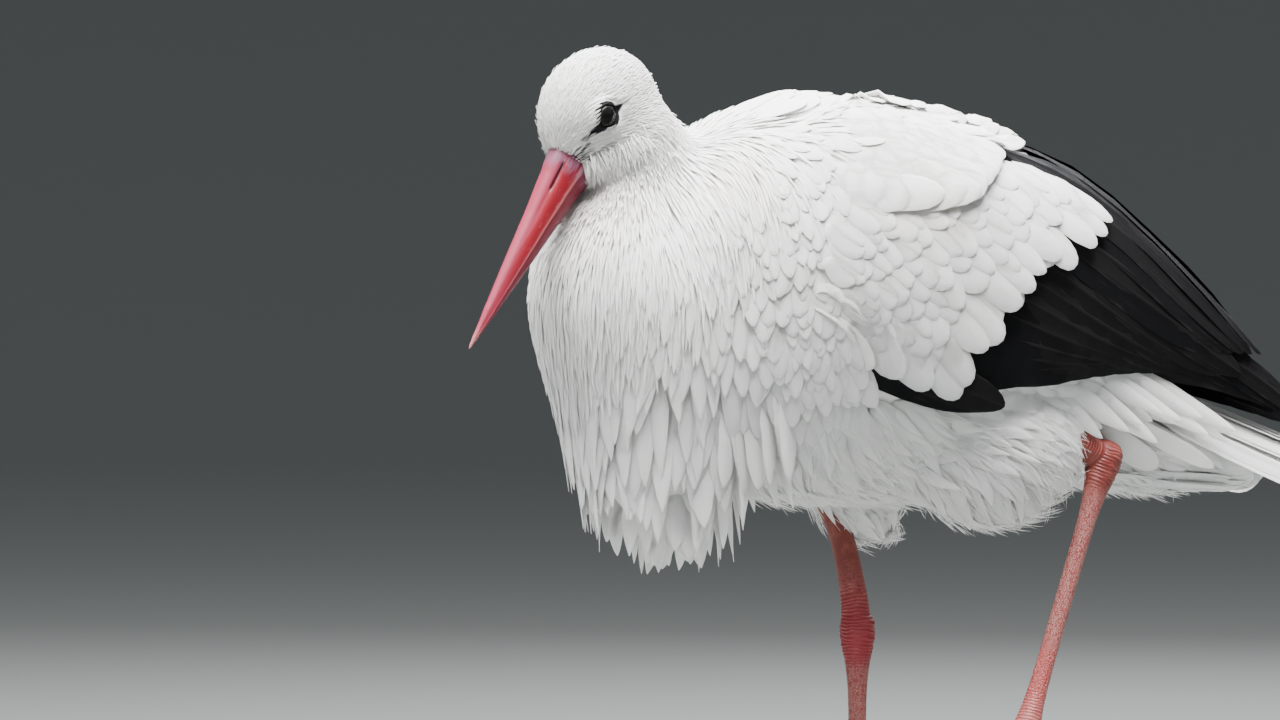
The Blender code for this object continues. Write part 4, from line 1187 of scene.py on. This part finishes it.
lines, ups = raised(whole_side, paths, -0.006, high, 0.002)
on_both("scapular_feathers", lines, ups, half, white_vane, tip=rng.uniform(0.5, 0.68, len(half)), blunt=2.0,
        camber=0.10, thick=0.0003, ragged=0.03)


# --- Tail ---------------------------------------------------------------------------------------------------
# Twelve broad white rectrices lie over each other as a shallow roof, the middle pair on top. Long, soft
# undertail coverts and loose flank plumes lie against them from below and from the sides.
TAIL_KEYS = [  # y, height of the ridge, half width, fall to the edges
    (0.150, 0.408, 0.020, 0.006),
    (0.200, 0.391, 0.026, 0.013),
    (0.250, 0.372, 0.031, 0.018),
    (0.300, 0.354, 0.034, 0.021),
    (0.340, 0.340, 0.035, 0.022),
    (0.358, 0.333, 0.034, 0.022),
]
TAIL_OUT = np.array([1.0, 0.94, 0.60, 0.54, 0.22, 0.12])  # shares of the half width: closed, in stacks of two
TAIL_HALF = 0.0155  # the half width of one feather
along_tail = np.linspace(0.0, 1.0, 15)
ridge_y, ridge_z, half_width, fall = between(TAIL_KEYS, along_tail).T
t = np.stack([TAIL_OUT, -TAIL_OUT], 1).reshape(-1, 1)
lines = np.stack(np.broadcast_arrays(
    t * half_width,
    ridge_y - 0.010 * t**2 * along_tail,
    ridge_z - fall * t**2 - 0.0045 * np.abs(t),
), -1)
ups = unit(np.stack(np.broadcast_arrays(1.2 * t, 0.35 + 0 * half_width, 1.0), -1))
rectrices = vanes("tail_feathers", lines, ups, TAIL_HALF, white_vane, snap_spots(lines[:, 0]), SHAFTED,
                  tip=0.80, blunt=2.1, camber=0.05, thick=0.0006, shares=QUILL_SHARES, ragged=0.02)
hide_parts("tail")

# Undertail coverts lie back along the tail from below; the hindmost ones end as free, rounded lobes.
beneath = rise(0.12, 0.15, y) * rise(0.046, 0.032, np.abs(x)) * rise(0.372, 0.355, z)
roots, outs, spots = sow(beneath, 0.0085, 9)
count = len(roots)
tips = roots + [0.0, 1.0, 0.0] * rng.uniform(0.050, 0.100, count)[:, None]
tips[:, 0] = roots[:, 0] * rng.uniform(0.7, 1.1, count)
tips[:, 1] = np.minimum(tips[:, 1], rng.uniform(0.285, 0.325, count))
tips[:, 2] = np.maximum(np.minimum(roots[:, 2] - 0.010, 0.322), 0.3065) + rng.uniform(-0.004, 0.004, count)
t = np.linspace(0.0, 1.0, 8)[None, :, None]
lines = mix(roots[:, None], tips[:, None], t) + outs[:, None] * 0.016 * (1 - t) * t**0.5
ups = unit(outs * [1.0, 0.3, 1.0] + [0.0, 0.0, -0.2] + rng.normal(0.0, 0.15, (count, 3)))[:, None] + 0 * lines
vanes("undertail_feathers", lines, ups, rng.uniform(0.0065, 0.0100, count), white_vane, spots, SOFT, tip=0.62,
      blunt=2.0, camber=0.12, ragged=0.06)

# Flank plumes start under the wing's lower edge and end beside the tail.
PLUMES = 26  # on each side
PLUME_ROOTS = [(0.040, 0.384), (0.165, 0.394)]  # y, z at both ends of the row
PLUME_TIPS = [(0.122, 0.346), (0.268, 0.346)]
WING_LOW = 0.368  # the lowest part of the wing's face that the plumes follow
t = np.linspace(0.0, 1.0, PLUMES)
from_at = spaced(PLUME_ROOTS, t) + rng.normal(0, 0.002, (PLUMES, 2))
tips_at = spaced(PLUME_TIPS, t) + rng.normal(0, 0.004, (PLUMES, 2))
paths = bowed(from_at, 0.5 * (from_at + tips_at) + [0.006, 0.006], tips_at, 9)
places, _ = on_side(wing_side, paths[..., 0], np.maximum(paths[..., 1], WING_LOW))
inward = np.linspace(0.0, 1.0, 9)[None, :] ** 1.5
out = mix(places[..., 0] - 0.010, rng.uniform(0.050, 0.066, (PLUMES, 1)), inward)
lines = np.concatenate([out[..., None], paths], -1)
ups = unit(np.array([1.0, 0.1, -0.25])) + 0 * lines
on_both("flank_plumes", lines, ups, rng.uniform(0.0065, 0.0095, PLUMES), white_vane, tip=0.45, blunt=1.6,
        camber=0.12, ragged=0.05)


# --- Bill ---------------------------------------------------------------------------------------------------
# Two horny mandibles, a long straight dagger that parts along the line of the mouth. The upper one carries a
# rounded culmen, a slit of a nostril in a shallow groove on each side, and a pale cutting edge. Coral red
# horn with a painted rosy highlight along the top and painted wine-dark shade on the underside, rosy at the tip
# and dusky near the feathers, with fine scratches along it; the nostril slits and the mouth between the halves
# are painted dark as shade.
BILL_LENGTH = 0.145
BILL_HALF_DEPTH = 0.018
BILL_HALF_WIDTH = 0.0135
BILL_ROOT = -0.009  # how far it reaches back under the feathers
MOUTH_DROP = -0.002  # the line of the mouth under the bill's axis, at the base
MOUTH_RISE = 0.012  # and its slope towards the axis
BILL_KEYS = [  # share of the length, share of the half depth, share of the half width
    (-0.07, 0.98, 0.98),
    (0.00, 1.00, 1.00),
    (0.10, 0.88, 0.86),
    (0.30, 0.68, 0.66),
    (0.55, 0.47, 0.47),
    (0.80, 0.24, 0.27),
    (0.94, 0.10, 0.12),
    (1.00, 0.03, 0.04),
]
NOSTRIL = (0.005, 0.026, math.radians(42.0))  # from and to along the bill, and the angle up round its section
# Rose is the tip's colour and also a painted highlight along the top; wine is painted shade on the underside.
ROSE_TIP_AND_TOP_HIGHLIGHT = (0.24, 0.034, 0.062)
CORAL_HORN = (0.19, 0.010, 0.018)
WINE_UNDERSIDE_SHADE = (0.13, 0.009, 0.022)
PALE_HORN = (0.45, 0.21, 0.20)
DUSK_HORN = (0.18, 0.11, 0.17)
# the painted shade in the nostril slits and in the mouth's gap
SLIT_SHADE_DARK = (0.030, 0.010, 0.012)
MOUTH_GAP = 0.00018  # each half keeps this far from the line of the mouth
BILL_AROUND = 64
ROOF_POINTS = 12

# The grain of the horn: fine and broad streaks along the bill, and sparse scratches.
streaks, streaks_in, streaks_out = group("horn_streaks", [("Grain", "NodeSocketVector", None)], [
    ("Fine", "NodeSocketFloat"), ("Broad", "NodeSocketFloat"), ("Scratch", "NodeSocketFloat")])
grain = streaks_in.outputs["Grain"]
streaks.links.new(noise(streaks, 9.0, 4.0, grain, 0.6), streaks_out.inputs["Fine"])
streaks.links.new(noise(streaks, 2.2, 3.0, grain), streaks_out.inputs["Broad"])
scratch = ramped(streaks, noise(streaks, 5.0, 5.0, grain, 0.7), 0.60, 0.68)
streaks.links.new(scratch, streaks_out.inputs["Scratch"])

bill_horn, bill_shader = paint("bill_horn", CORAL_HORN, 0.36, Subsurface_Weight=0.08, Subsurface_Scale=0.002,
                               Subsurface_Radius=(1.0, 0.35, 0.25), Specular_IOR_Level=0.22)
tree = bill_horn.node_tree
horn = placed(tree, streaks)
tree.links.new(stored(tree, "grain", vector=True), horn.inputs["Grain"])
height, reach = stored(tree, "height"), stored(tree, "reach")
# Painted light: by how far each place faces up, the underside turns wine-dark as painted shade and the top rosy
# as a painted highlight; broad streaks wander the borders.
wander = maths(tree, "SUBTRACT", horn.outputs["Broad"], 0.5)
facing_light = maths(tree, "ADD", height, times(tree, wander, 0.5))
colour = blend(tree, ramped(tree, facing_light, -0.35, 0.12), WINE_UNDERSIDE_SHADE, CORAL_HORN)
colour = blend(tree, ramped(tree, facing_light, 0.42, 0.86), colour, ROSE_TIP_AND_TOP_HIGHLIGHT)
colour = blend(tree, ramped(tree, reach, 0.42, 0.85, 0.0, 0.55), colour, ROSE_TIP_AND_TOP_HIGHLIGHT)
colour = blend(tree, ramped(tree, reach, 0.86, 1.0, 0.0, 0.55), colour, PALE_HORN)
dusky = ramped(tree, horn.outputs["Broad"], 0.35, 0.6)
dusky = times(tree, ramped(tree, reach, 0.10, 0.015), dusky)
colour = blend(tree, times(tree, dusky, 0.8), colour, DUSK_HORN)
beside = times(tree, ramped(tree, height, -0.25, 0.05), ramped(tree, height, 0.62, 0.30))
flecks = times(tree, times(tree, horn.outputs["Scratch"], beside), 0.55)
colour = blend(tree, times(tree, flecks, ramped(tree, reach, 0.62, 0.40)), colour, PALE_HORN)
colour = blend(tree, times(tree, stored(tree, "edge"), 0.5), colour, PALE_HORN)
# Painted shade: dark in the nostril slits and on the roofs of the mouth inside the gap between the halves.
colour = blend(tree, stored(tree, "dark"), colour, SLIT_SHADE_DARK)
tree.links.new(colour, bill_shader.inputs["Base Color"])
tree.links.new(ramped(tree, horn.outputs["Fine"], 0.3, 0.75, 0.28, 0.46), bill_shader.inputs["Roughness"])
embossed(tree, bill_shader, horn.outputs["Fine"], 0.25, 0.0004)


def mandible(name, upper):
    """One half of the bill. Each ring is an ellipse cut off along the mouth: v = b sin f and u = a cos f
    between the two places where it meets the mouth, and a shallow roof of the mouth back between them."""
    share = np.concatenate([np.linspace(BILL_ROOT / BILL_LENGTH, 0.25, 34), np.linspace(0.26, 0.985, 60)])
    numbering = np.linspace(0.0, 1.0, len(BILL_KEYS))
    rows = between(BILL_KEYS, np.interp(share, [key[0] for key in BILL_KEYS], numbering))
    deep, wide = BILL_HALF_DEPTH * rows[:, 1:2], BILL_HALF_WIDTH * rows[:, 2:3]
    reach = share[:, None] * BILL_LENGTH
    mouth = MOUTH_DROP + MOUTH_RISE * reach
    meet = np.arcsin(np.clip(mouth / deep, -0.9, 0.9))
    step = np.linspace(0.0, 1.0, BILL_AROUND)[None, :]
    angle = meet + (math.pi - 2 * meet) * step if upper else meet - (math.pi + 2 * meet) * step
    u, v = wide * np.cos(angle), deep * np.sin(angle)
    out_u, out_v = np.cos(angle) / wide, np.sin(angle) / deep
    length = np.hypot(out_u, out_v)
    from_side = np.minimum(angle, math.pi - angle) if upper else 0.0 * angle - 1.0
    first, last, nostril_at = NOSTRIL
    groove = np.exp(-(((from_side - nostril_at) / 0.20) ** 2))
    groove = groove * rise(0.075, 0.02, reach) * rise(-0.004, 0.004, reach)
    slit = np.exp(-(((from_side - nostril_at) / 0.055) ** 2)) * rise(last + 0.002, last - 0.004, reach)
    slit = slit * rise(first - 0.002, first + 0.002, reach)
    rim = np.minimum(step, 1.0 - step) * 2.0
    edge = rise(0.085, 0.02, rim) if upper else rise(0.05, 0.0, rim)
    sink = 0.0007 * groove + 0.0016 * slit + 0.0003 * np.sin(9.0 * angle + 40.0 * reach) * 0.15
    sink = sink - (0.00035 if upper else -0.0002) * rise(0.12, 0.03, rim) * rise(1.0, 0.8, share[:, None])
    u, v = u - sink * out_u / length, v - sink * out_v / length
    gap = MOUTH_GAP if upper else -MOUTH_GAP
    across = np.linspace(-1.0, 1.0, ROOF_POINTS)[None, 1:-1]
    roof_u = u[:, :1] * across
    roof_v = mouth + gap + (0.0012 if upper else -0.0012) * (1.0 - across**2) * rows[:, 1:2]
    v[:, :1] = v[:, -1:] = mouth + gap
    ring_u, ring_v = np.concatenate([u, roof_u], 1), np.concatenate([v, roof_v + 0 * roof_u], 1)
    grid = BILL_BASE + reach[..., None] * BILL_AXIS
    grid = grid + ring_u[..., None] * HEAD_SIDE + ring_v[..., None] * BILL_UP
    if upper:
        grid = grid[:, ::-1]
    tip = BILL_BASE + BILL_LENGTH * BILL_AXIS + (0.5 * gap - 0.0002) * BILL_UP
    order = slice(None, None, -1) if upper else slice(None)
    flat = 0.0 * roof_u
    values = {
        "height": np.concatenate([np.sin(angle), flat - 0.3], 1),
        "reach": np.broadcast_to(share[:, None], ring_u.shape),
        "edge": np.concatenate([edge + 0 * u, flat], 1),
        # dark: painted shade, in the nostril slit and on the roof of the mouth inside the gap
        "dark": np.concatenate([np.clip(1.3 * slit, 0.0, 1.0) + 0 * u, flat + 0.8], 1),
    }
    ends = {"height": 0.0, "edge": 0.0, "dark": 0.0}
    kept = [(key, np.concatenate([[ends.get(key, 0.0)], value[:, order].ravel(), [ends.get(key, 1.0)]]))
            for key, value in values.items()]
    grain = np.stack([0 * ring_u + reach * 22.0, ring_u * 260.0, ring_v * 260.0], -1)[:, order].reshape(-1, 3)
    kept.append(("grain", np.vstack([grain[:1], grain, grain[-1:]])))
    piece = tubes(name, grid[None], grid[0].mean(0)[None], tip[None], bill_horn, values=kept)
    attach(piece, "root")
    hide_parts(name.replace("_horn", ""))


mandible("bill_upper_horn", True)
mandible("bill_lower_horn", False)


# --- Legs ---------------------------------------------------------------------------------------------------
# Bare, scaly skin over bone and tendon: a brown-red shank, a thick ankle with fine folds across it and pink
# painted highlights on their crests, a long round tarsus under small pale plates with red between them, and a
# red swelling where the toes join.
ANKLES = {"r": np.array([-0.018, 0.0115, 0.212]), "l": np.array([0.050, 0.164, 0.326])}
TOE_ROOTS = {"r": np.array([0.0, 0.0, 0.009]), "l": np.array([0.065, 0.089, 0.139])}
AHEAD = np.array([0.0, -1.0, 0.0])
SHANK_KEYS = {  # x, y, z, radius across, radius ahead
    "r": [(-0.038, -0.010, 0.320, 0.009, 0.009), (-0.029, 0.005, 0.277, 0.0082, 0.0082),
          (-0.021, 0.010, 0.238, 0.0086, 0.0092), (-0.018, 0.0115, 0.208, 0.0104, 0.0110)],
    "l": [(0.048, 0.080, 0.368, 0.009, 0.009), (0.049, 0.113, 0.355, 0.009, 0.0095),
          (0.050, 0.142, 0.339, 0.0088, 0.0096), (0.050, 0.164, 0.326, 0.0100, 0.0106)],
}
TOE_LENGTHS = {"middle": 0.072, "inner": 0.054, "outer": 0.060, "hind": 0.027}
TOE_SPREADS = {"middle": 3.0, "inner": -36.0, "outer": 40.0, "hind": 172.0}  # degrees outwards
TOE_RADIUS = 0.0052
CLAW_LENGTH = 0.011
CLAW_GAP = 0.00035  # between the toe's end and its claw
CLAW_RADIUS = 0.0029
TOE_CURL = 0.007  # how far the hanging toes curl towards the sole
SHANK_RED = (0.200, 0.026, 0.020)
# the painted highlight on the crests of the ankle's folds
FOLD_CREST_HIGHLIGHT = (0.40, 0.14, 0.14)
PLATE_PALE = (0.34, 0.145, 0.125)
SKIN_RED = (0.25, 0.014, 0.022)
TOE_RED = (0.30, 0.035, 0.036)
SHANK_SEAM = (0.12, 0.022, 0.016)
SHANK_WORN = (0.30, 0.09, 0.06)
TOE_SEAM = (0.50, 0.17, 0.15)
RAISED_FOLDS = 0.15  # how much of the standing ankle's folds and colour the raised one shows
SHANK_AROUND = 40
TARSUS_AROUND = 48
TOE_AROUND = 24

# Small horny plates: cells with sunk seams, and a band of narrow folds where Folds is up.
plates, plates_in, plates_out = group("leg_plates", [
    ("Size", "NodeSocketFloat", 420.0), ("Folds", "NodeSocketFloat", 0.0), ("Along", "NodeSocketFloat", 0.0)],
    [("Height", "NodeSocketFloat"), ("Seam", "NodeSocketFloat"), ("Plate", "NodeSocketFloat")])
cells = plates.nodes.new("ShaderNodeTexVoronoi")
cells.feature = "DISTANCE_TO_EDGE"
whole = plates.nodes.new("ShaderNodeTexVoronoi")
for node in (cells, whole):
    plates.links.new(plates.nodes.new("ShaderNodeTexCoord").outputs["Object"], node.inputs["Vector"])
    plates.links.new(plates_in.outputs["Size"], node.inputs["Scale"])
seam = ramped(plates, cells.outputs["Distance"], 0.02, 0.14, 1.0, 0.0)
wander = times(plates, noise(plates, 60.0, 2.0), 14.0)
along_leg = times(plates, plates_in.outputs["Along"], 2700.0)
fold = maths(plates, "SINE", maths(plates, "ADD", along_leg, wander))
cell_height = maths(plates, "SUBTRACT", 1.0, seam)
turned_to_folds = maths(plates, "SUBTRACT", times(plates, fold, 0.5), cell_height)
turned_to_folds = times(plates, turned_to_folds, plates_in.outputs["Folds"])
plates.links.new(maths(plates, "ADD", cell_height, turned_to_folds), plates_out.inputs["Height"])
plates.links.new(seam, plates_out.inputs["Seam"])
plates.links.new(whole.outputs["Color"], plates_out.inputs["Plate"])

leg_skin, leg_shader = paint("leg_skin", SKIN_RED, 0.5, Subsurface_Weight=0.08, Subsurface_Scale=0.002,
                             Subsurface_Radius=(1.0, 0.35, 0.25))
tree = leg_skin.node_tree
scaly = placed(tree, plates)
for socket, source in (("Folds", "folds"), ("Along", "reach")):
    tree.links.new(stored(tree, source), scaly.inputs[socket])
scaly.inputs["Size"].default_value = 560.0
uneven = noise(tree, 120.0, 3.0)
shank = blend(tree, ramped(tree, scaly.outputs["Seam"], 0.2, 0.8), SHANK_RED, SHANK_SEAM)
shank = blend(tree, ramped(tree, uneven, 0.45, 0.7, 0.0, 0.6), shank, SHANK_WORN)
between_plates = maths(tree, "ADD", scaly.outputs["Seam"], times(tree, uneven, 0.5))
tarsus = blend(tree, ramped(tree, between_plates, 0.42, 0.95, 0.0, 0.8), PLATE_PALE, SKIN_RED)
spotted = maths(tree, "ADD", scaly.outputs["Plate"], times(tree, stored(tree, "front"), 0.30))
tarsus = blend(tree, ramped(tree, spotted, 0.68, 0.92, 0.0, 0.75), tarsus, SKIN_RED)
# Painted highlight: the raised crests of the ankle's folds turn pink.
on_folds = maths(tree, "ADD", scaly.outputs["Height"], uneven)
ankle = blend(tree, ramped(tree, on_folds, 0.9, 1.3), SKIN_RED, FOLD_CREST_HIGHLIGHT)
red = blend(tree, ramped(tree, scaly.outputs["Seam"], 0.3, 0.9), TOE_RED, TOE_SEAM)
colour = blend(tree, stored(tree, "is_tarsus"), shank, tarsus)
colour = blend(tree, stored(tree, "is_ankle"), colour, ankle)
colour = blend(tree, stored(tree, "is_red"), colour, red)
tree.links.new(colour, leg_shader.inputs["Base Color"])
tree.links.new(ramped(tree, uneven, 0.3, 0.7, 0.40, 0.62), leg_shader.inputs["Roughness"])
embossed(tree, leg_shader, scaly.outputs["Height"], 0.8, 0.0005)


def sleeve(keys, count, around, ahead, floor=None, facing=None):
    """Rings along a path. A key is x, y, z, radius across, radius along `ahead`; points stay above `floor`.
    The rings stand square to the path, or all square to `facing` where it is given."""
    rows = between(keys, np.linspace(0.0, 1.0, count))
    tangents = np.gradient(rows[:, :3], axis=0) if facing is None else np.tile(facing, (count, 1))
    tangents = unit(tangents)
    across = unit(np.cross(tangents, ahead))
    front = np.cross(across, tangents)
    turn = np.arange(around) * math.tau / around
    rings = (rows[:, None, :3] + rows[:, 3, None, None] * across[:, None] * np.cos(turn)[None, :, None]
             + rows[:, 4, None, None] * front[:, None] * np.sin(turn)[None, :, None])
    if floor is not None:
        rings[..., 2] = np.maximum(rings[..., 2], floor)
    return rings[:, ::-1], rows


def limb(name, rings, ends, material, slot, values):
    """One closed tube that stands for the CAD node of the same name. `values` are attributes: a name and one
    number for each ring, or for each of its corners."""
    kept = []
    for key, value in values.items():
        value = np.broadcast_to(value if value.ndim == 2 else value[:, None], rings.shape[:2])
        kept.append((key, np.concatenate([value[0, :1], value.ravel(), value[-1, :1]])))
    made_of = slot.split("_")[1]
    piece = tubes(f"{name}_{made_of}", rings[None], ends[0][None], ends[1][None], material, values=kept)
    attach(piece, "root")
    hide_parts(name)


for side in SIDES:
    standing = side == "r"
    folded = 1.0 if standing else RAISED_FOLDS
    rings, rows = sleeve(SHANK_KEYS[side], 90, SHANK_AROUND, AHEAD if standing else UP)
    down = np.concatenate([[0.0], np.cumsum(np.linalg.norm(np.diff(rows[:, :3], axis=0), axis=1))])
    middle = rows[:, None, :3]
    turn = np.arange(SHANK_AROUND) * math.tau / SHANK_AROUND
    scales = 0.016 * np.sin(down * 2600.0)[:, None] * rise(0.04, 0.07, down)[:, None]
    flutes = 0.035 * np.cos(2 * turn + 0.6)[None, :] + scales
    rings = middle + (rings - middle) * (1.0 + flutes)[..., None]
    left = down[-1] - down
    limb(f"shank_{side}", rings, (rows[0, :3], rows[-1, :3]), leg_skin, "leg_skin", {
        "reach": down,
        "folds": rise(0.045, 0.02, left),
        "is_tarsus": 0 * down,
        "is_ankle": rise(0.060, 0.004, left) * folded,
        "is_red": 0 * down,
    })

    ankle_at, foot = ANKLES[side], TOE_ROOTS[side]
    downward = unit(foot - ankle_at)
    reach = np.linalg.norm(foot - ankle_at)
    stations = [  # distance below the ankle, radius across, radius ahead
        (-0.0130, 0.0060, 0.0070), (-0.0090, 0.0100, 0.0110), (0.0, 0.0115, 0.0125), (0.012, 0.0095, 0.0110),
        (0.026, 0.0070, 0.0080), (0.055, 0.0063, 0.0063), (reach - 0.060, 0.0063, 0.0063),
        (reach - 0.028, 0.0072, 0.0072), (reach - 0.010, 0.0100, 0.0095), (reach, 0.0120, 0.0110),
        (reach + 0.0105, 0.0080, 0.0080)]
    keys = [(*(ankle_at + distance * downward), wide, deep) for distance, wide, deep in stations]
    rings, rows = sleeve(keys, 220, TARSUS_AROUND, AHEAD, floor=0.0 if standing else None)
    down = (rows[:, :3] - ankle_at) @ downward
    turn = (np.arange(TARSUS_AROUND) * math.tau / TARSUS_AROUND)[::-1]
    at_ankle = rise(0.030, 0.008, np.abs(down))
    knuckles = 0.06 * np.cos(2 * turn)[None, :] * at_ankle[:, None]
    wave = down[:, None] * 1500.0 + 1.6 * np.sin(down * 420.0)[:, None]
    wave = wave + 0.9 * np.sin(turn + 0.5) + 0.6 * np.sin(3 * turn)
    folds = 0.016 * np.sin(wave) * at_ankle[:, None] * (1.0 + 0.8 * np.sin(2 * turn + 0.8))[None, :]
    bumps = 0.030 * np.sin(down * 330.0 + 1.0)[:, None] * np.sin(3 * turn + 0.4)[None, :]
    folds = folds + bumps * at_ankle[:, None]
    on_shaft = rise(0.02, 0.05, down) * rise(reach - 0.02, reach - 0.06, down)
    tendon = -0.05 * (np.cos(turn - 0.9) ** 8)[None, :] * on_shaft[:, None]
    middle = rows[:, None, :3]
    rings = middle + (rings - middle) * (1.0 + knuckles + folds + tendon)[..., None]
    if standing:
        rings[..., 2] = np.maximum(rings[..., 2], 0.0)
    red = rise(reach - 0.074, reach - 0.060, down) * (0.45 + 0.55 * rise(reach - 0.018, reach - 0.036, down))
    front = rise(0.55, 1.0, np.cos(turn - 1.5 * math.pi - 0.35 * SIDES[side]))[None, :]
    foot_folds = rise(reach - 0.045, reach - 0.02, down)
    sole = rows[-1, :3] * [1, 1, 0 if standing else 1]
    limb(f"tarsus_{side}", rings, (rows[0, :3], sole), leg_skin, "leg_skin", {
        "front": front * rise(0.02, 0.05, down)[:, None],
        "reach": down,
        "folds": np.maximum(rise(0.032, 0.012, np.abs(down)), foot_folds),
        "is_tarsus": rise(0.014, 0.034, down),
        "is_ankle": rise(0.034, 0.016, np.abs(down)) * folded,
        "is_red": red,
    })


# --- Toes and claws -----------------------------------------------------------------------------------------
# Three toes point ahead and a short one back, each with knobbly joints and plates across the top, and each
# ends in a blunt, dark brown claw. The standing foot lies flat on the floor; the raised one hangs.
CLAW_BROWN = (0.050, 0.030, 0.026)
CLAW_DARK = (0.030, 0.020, 0.018)
CLAW_LIGHT = (0.095, 0.055, 0.045)
CLAW_TIP = (0.16, 0.11, 0.09)
claw_horn, claw_shader = paint("claw_horn", CLAW_BROWN, 0.42)
tree = claw_horn.node_tree
colour = blend(tree, ramped(tree, noise(tree, 260.0, 3.0), 0.35, 0.7), CLAW_DARK, CLAW_LIGHT)
colour = blend(tree, ramped(tree, stored(tree, "reach"), 0.75, 1.0, 0.0, 0.6), colour, CLAW_TIP)
tree.links.new(colour, claw_shader.inputs["Base Color"])
embossed(tree, claw_shader, noise(tree, 700.0, 2.0), 0.25, 0.0003)


def toe_frame(side, toe):
    """Where a toe starts, and its directions along and up."""
    spread = math.radians(TOE_SPREADS[toe]) * SIDES[side]
    if side == "r":
        ahead = np.array([math.sin(spread), -math.cos(spread), 0.0])
        return TOE_ROOTS[side] + 0.004 * ahead, ahead, UP
    fold = -1.0 if toe == "hind" else 1.0
    spread = 0.45 * spread if toe != "hind" else 0.1
    hang = unit((math.sin(spread), -0.10 * fold + (0.62 if toe == "hind" else 0.0), -1.0))
    return TOE_ROOTS[side] + 0.003 * hang, hang, -unit(np.cross(np.cross(hang, -fold * AHEAD), hang))


def digit(side, toe, steps, radius):
    """Rings of a toe or its claw at distances `steps` from the root, with their own radii."""
    root, ahead, top = toe_frame(side, toe)
    share = steps / TOE_LENGTHS[toe]
    centres = root + steps[:, None] * ahead
    if side == "r":
        centres[:, 2] = 0.86 * radius - 0.0002 + 0.003 * np.clip(1.0 - share / 0.3, 0.0, 1.0)
        centres[:, 2] += 0.0008 * np.clip((share - 1.0) * 12.0, 0.0, 1.0) * (share < 1.12)
    else:
        centres -= (TOE_CURL * share**2)[:, None] * top
    keys = np.column_stack([centres, radius, radius])
    return sleeve(keys, len(keys), TOE_AROUND, top, floor=0.0 if side == "r" else None, facing=ahead)


for side in SIDES:
    for toe, length in TOE_LENGTHS.items():
        steps = np.linspace(0.0, length - 0.0002, 100)
        share = steps / length
        joints = 0.5 + 0.5 * np.cos(share * math.tau * (2 if toe == "hind" else 3))
        radius = TOE_RADIUS * (1.0 - 0.34 * share) * (0.90 + 0.12 * joints)
        rings, rows = digit(side, toe, steps, radius)
        top = toe_frame(side, toe)[2]
        upper = np.clip((rings - rows[:, None, :3]) @ top / radius[:, None], 0.0, 1.0)
        scutes = 0.055 * np.abs(np.sin(steps * math.pi / 0.0031))[:, None] * rise(0.25, 0.75, upper)
        rings = rows[:, None, :3] + (rings - rows[:, None, :3]) * (0.965 + scutes)[..., None]
        if side == "r":
            rings[..., 2] = np.maximum(rings[..., 2], 0.0)
        limb(f"toe_{toe}_{side}", rings, (rings[0].mean(0), rings[-1].mean(0)), leg_skin, "leg_skin", {
            "reach": steps,
            "folds": 0.5 + 0 * steps,
            "is_tarsus": 0 * steps,
            "is_ankle": 0 * steps,
            "is_red": 1.0 - 0.25 * share,
        })
        grow = np.linspace(0.0, 1.0, 20)
        radius = CLAW_RADIUS * np.interp(grow, [0.0, 0.5, 1.0], [1.0, 0.74, 0.22])
        rings, rows = digit(side, toe, length + CLAW_GAP + grow * CLAW_LENGTH, radius)
        ends = (rings[0].mean(0), rings[-1].mean(0))
        limb(f"claw_{toe}_{side}", rings, ends, claw_horn, "claw_horn", {"reach": grow})
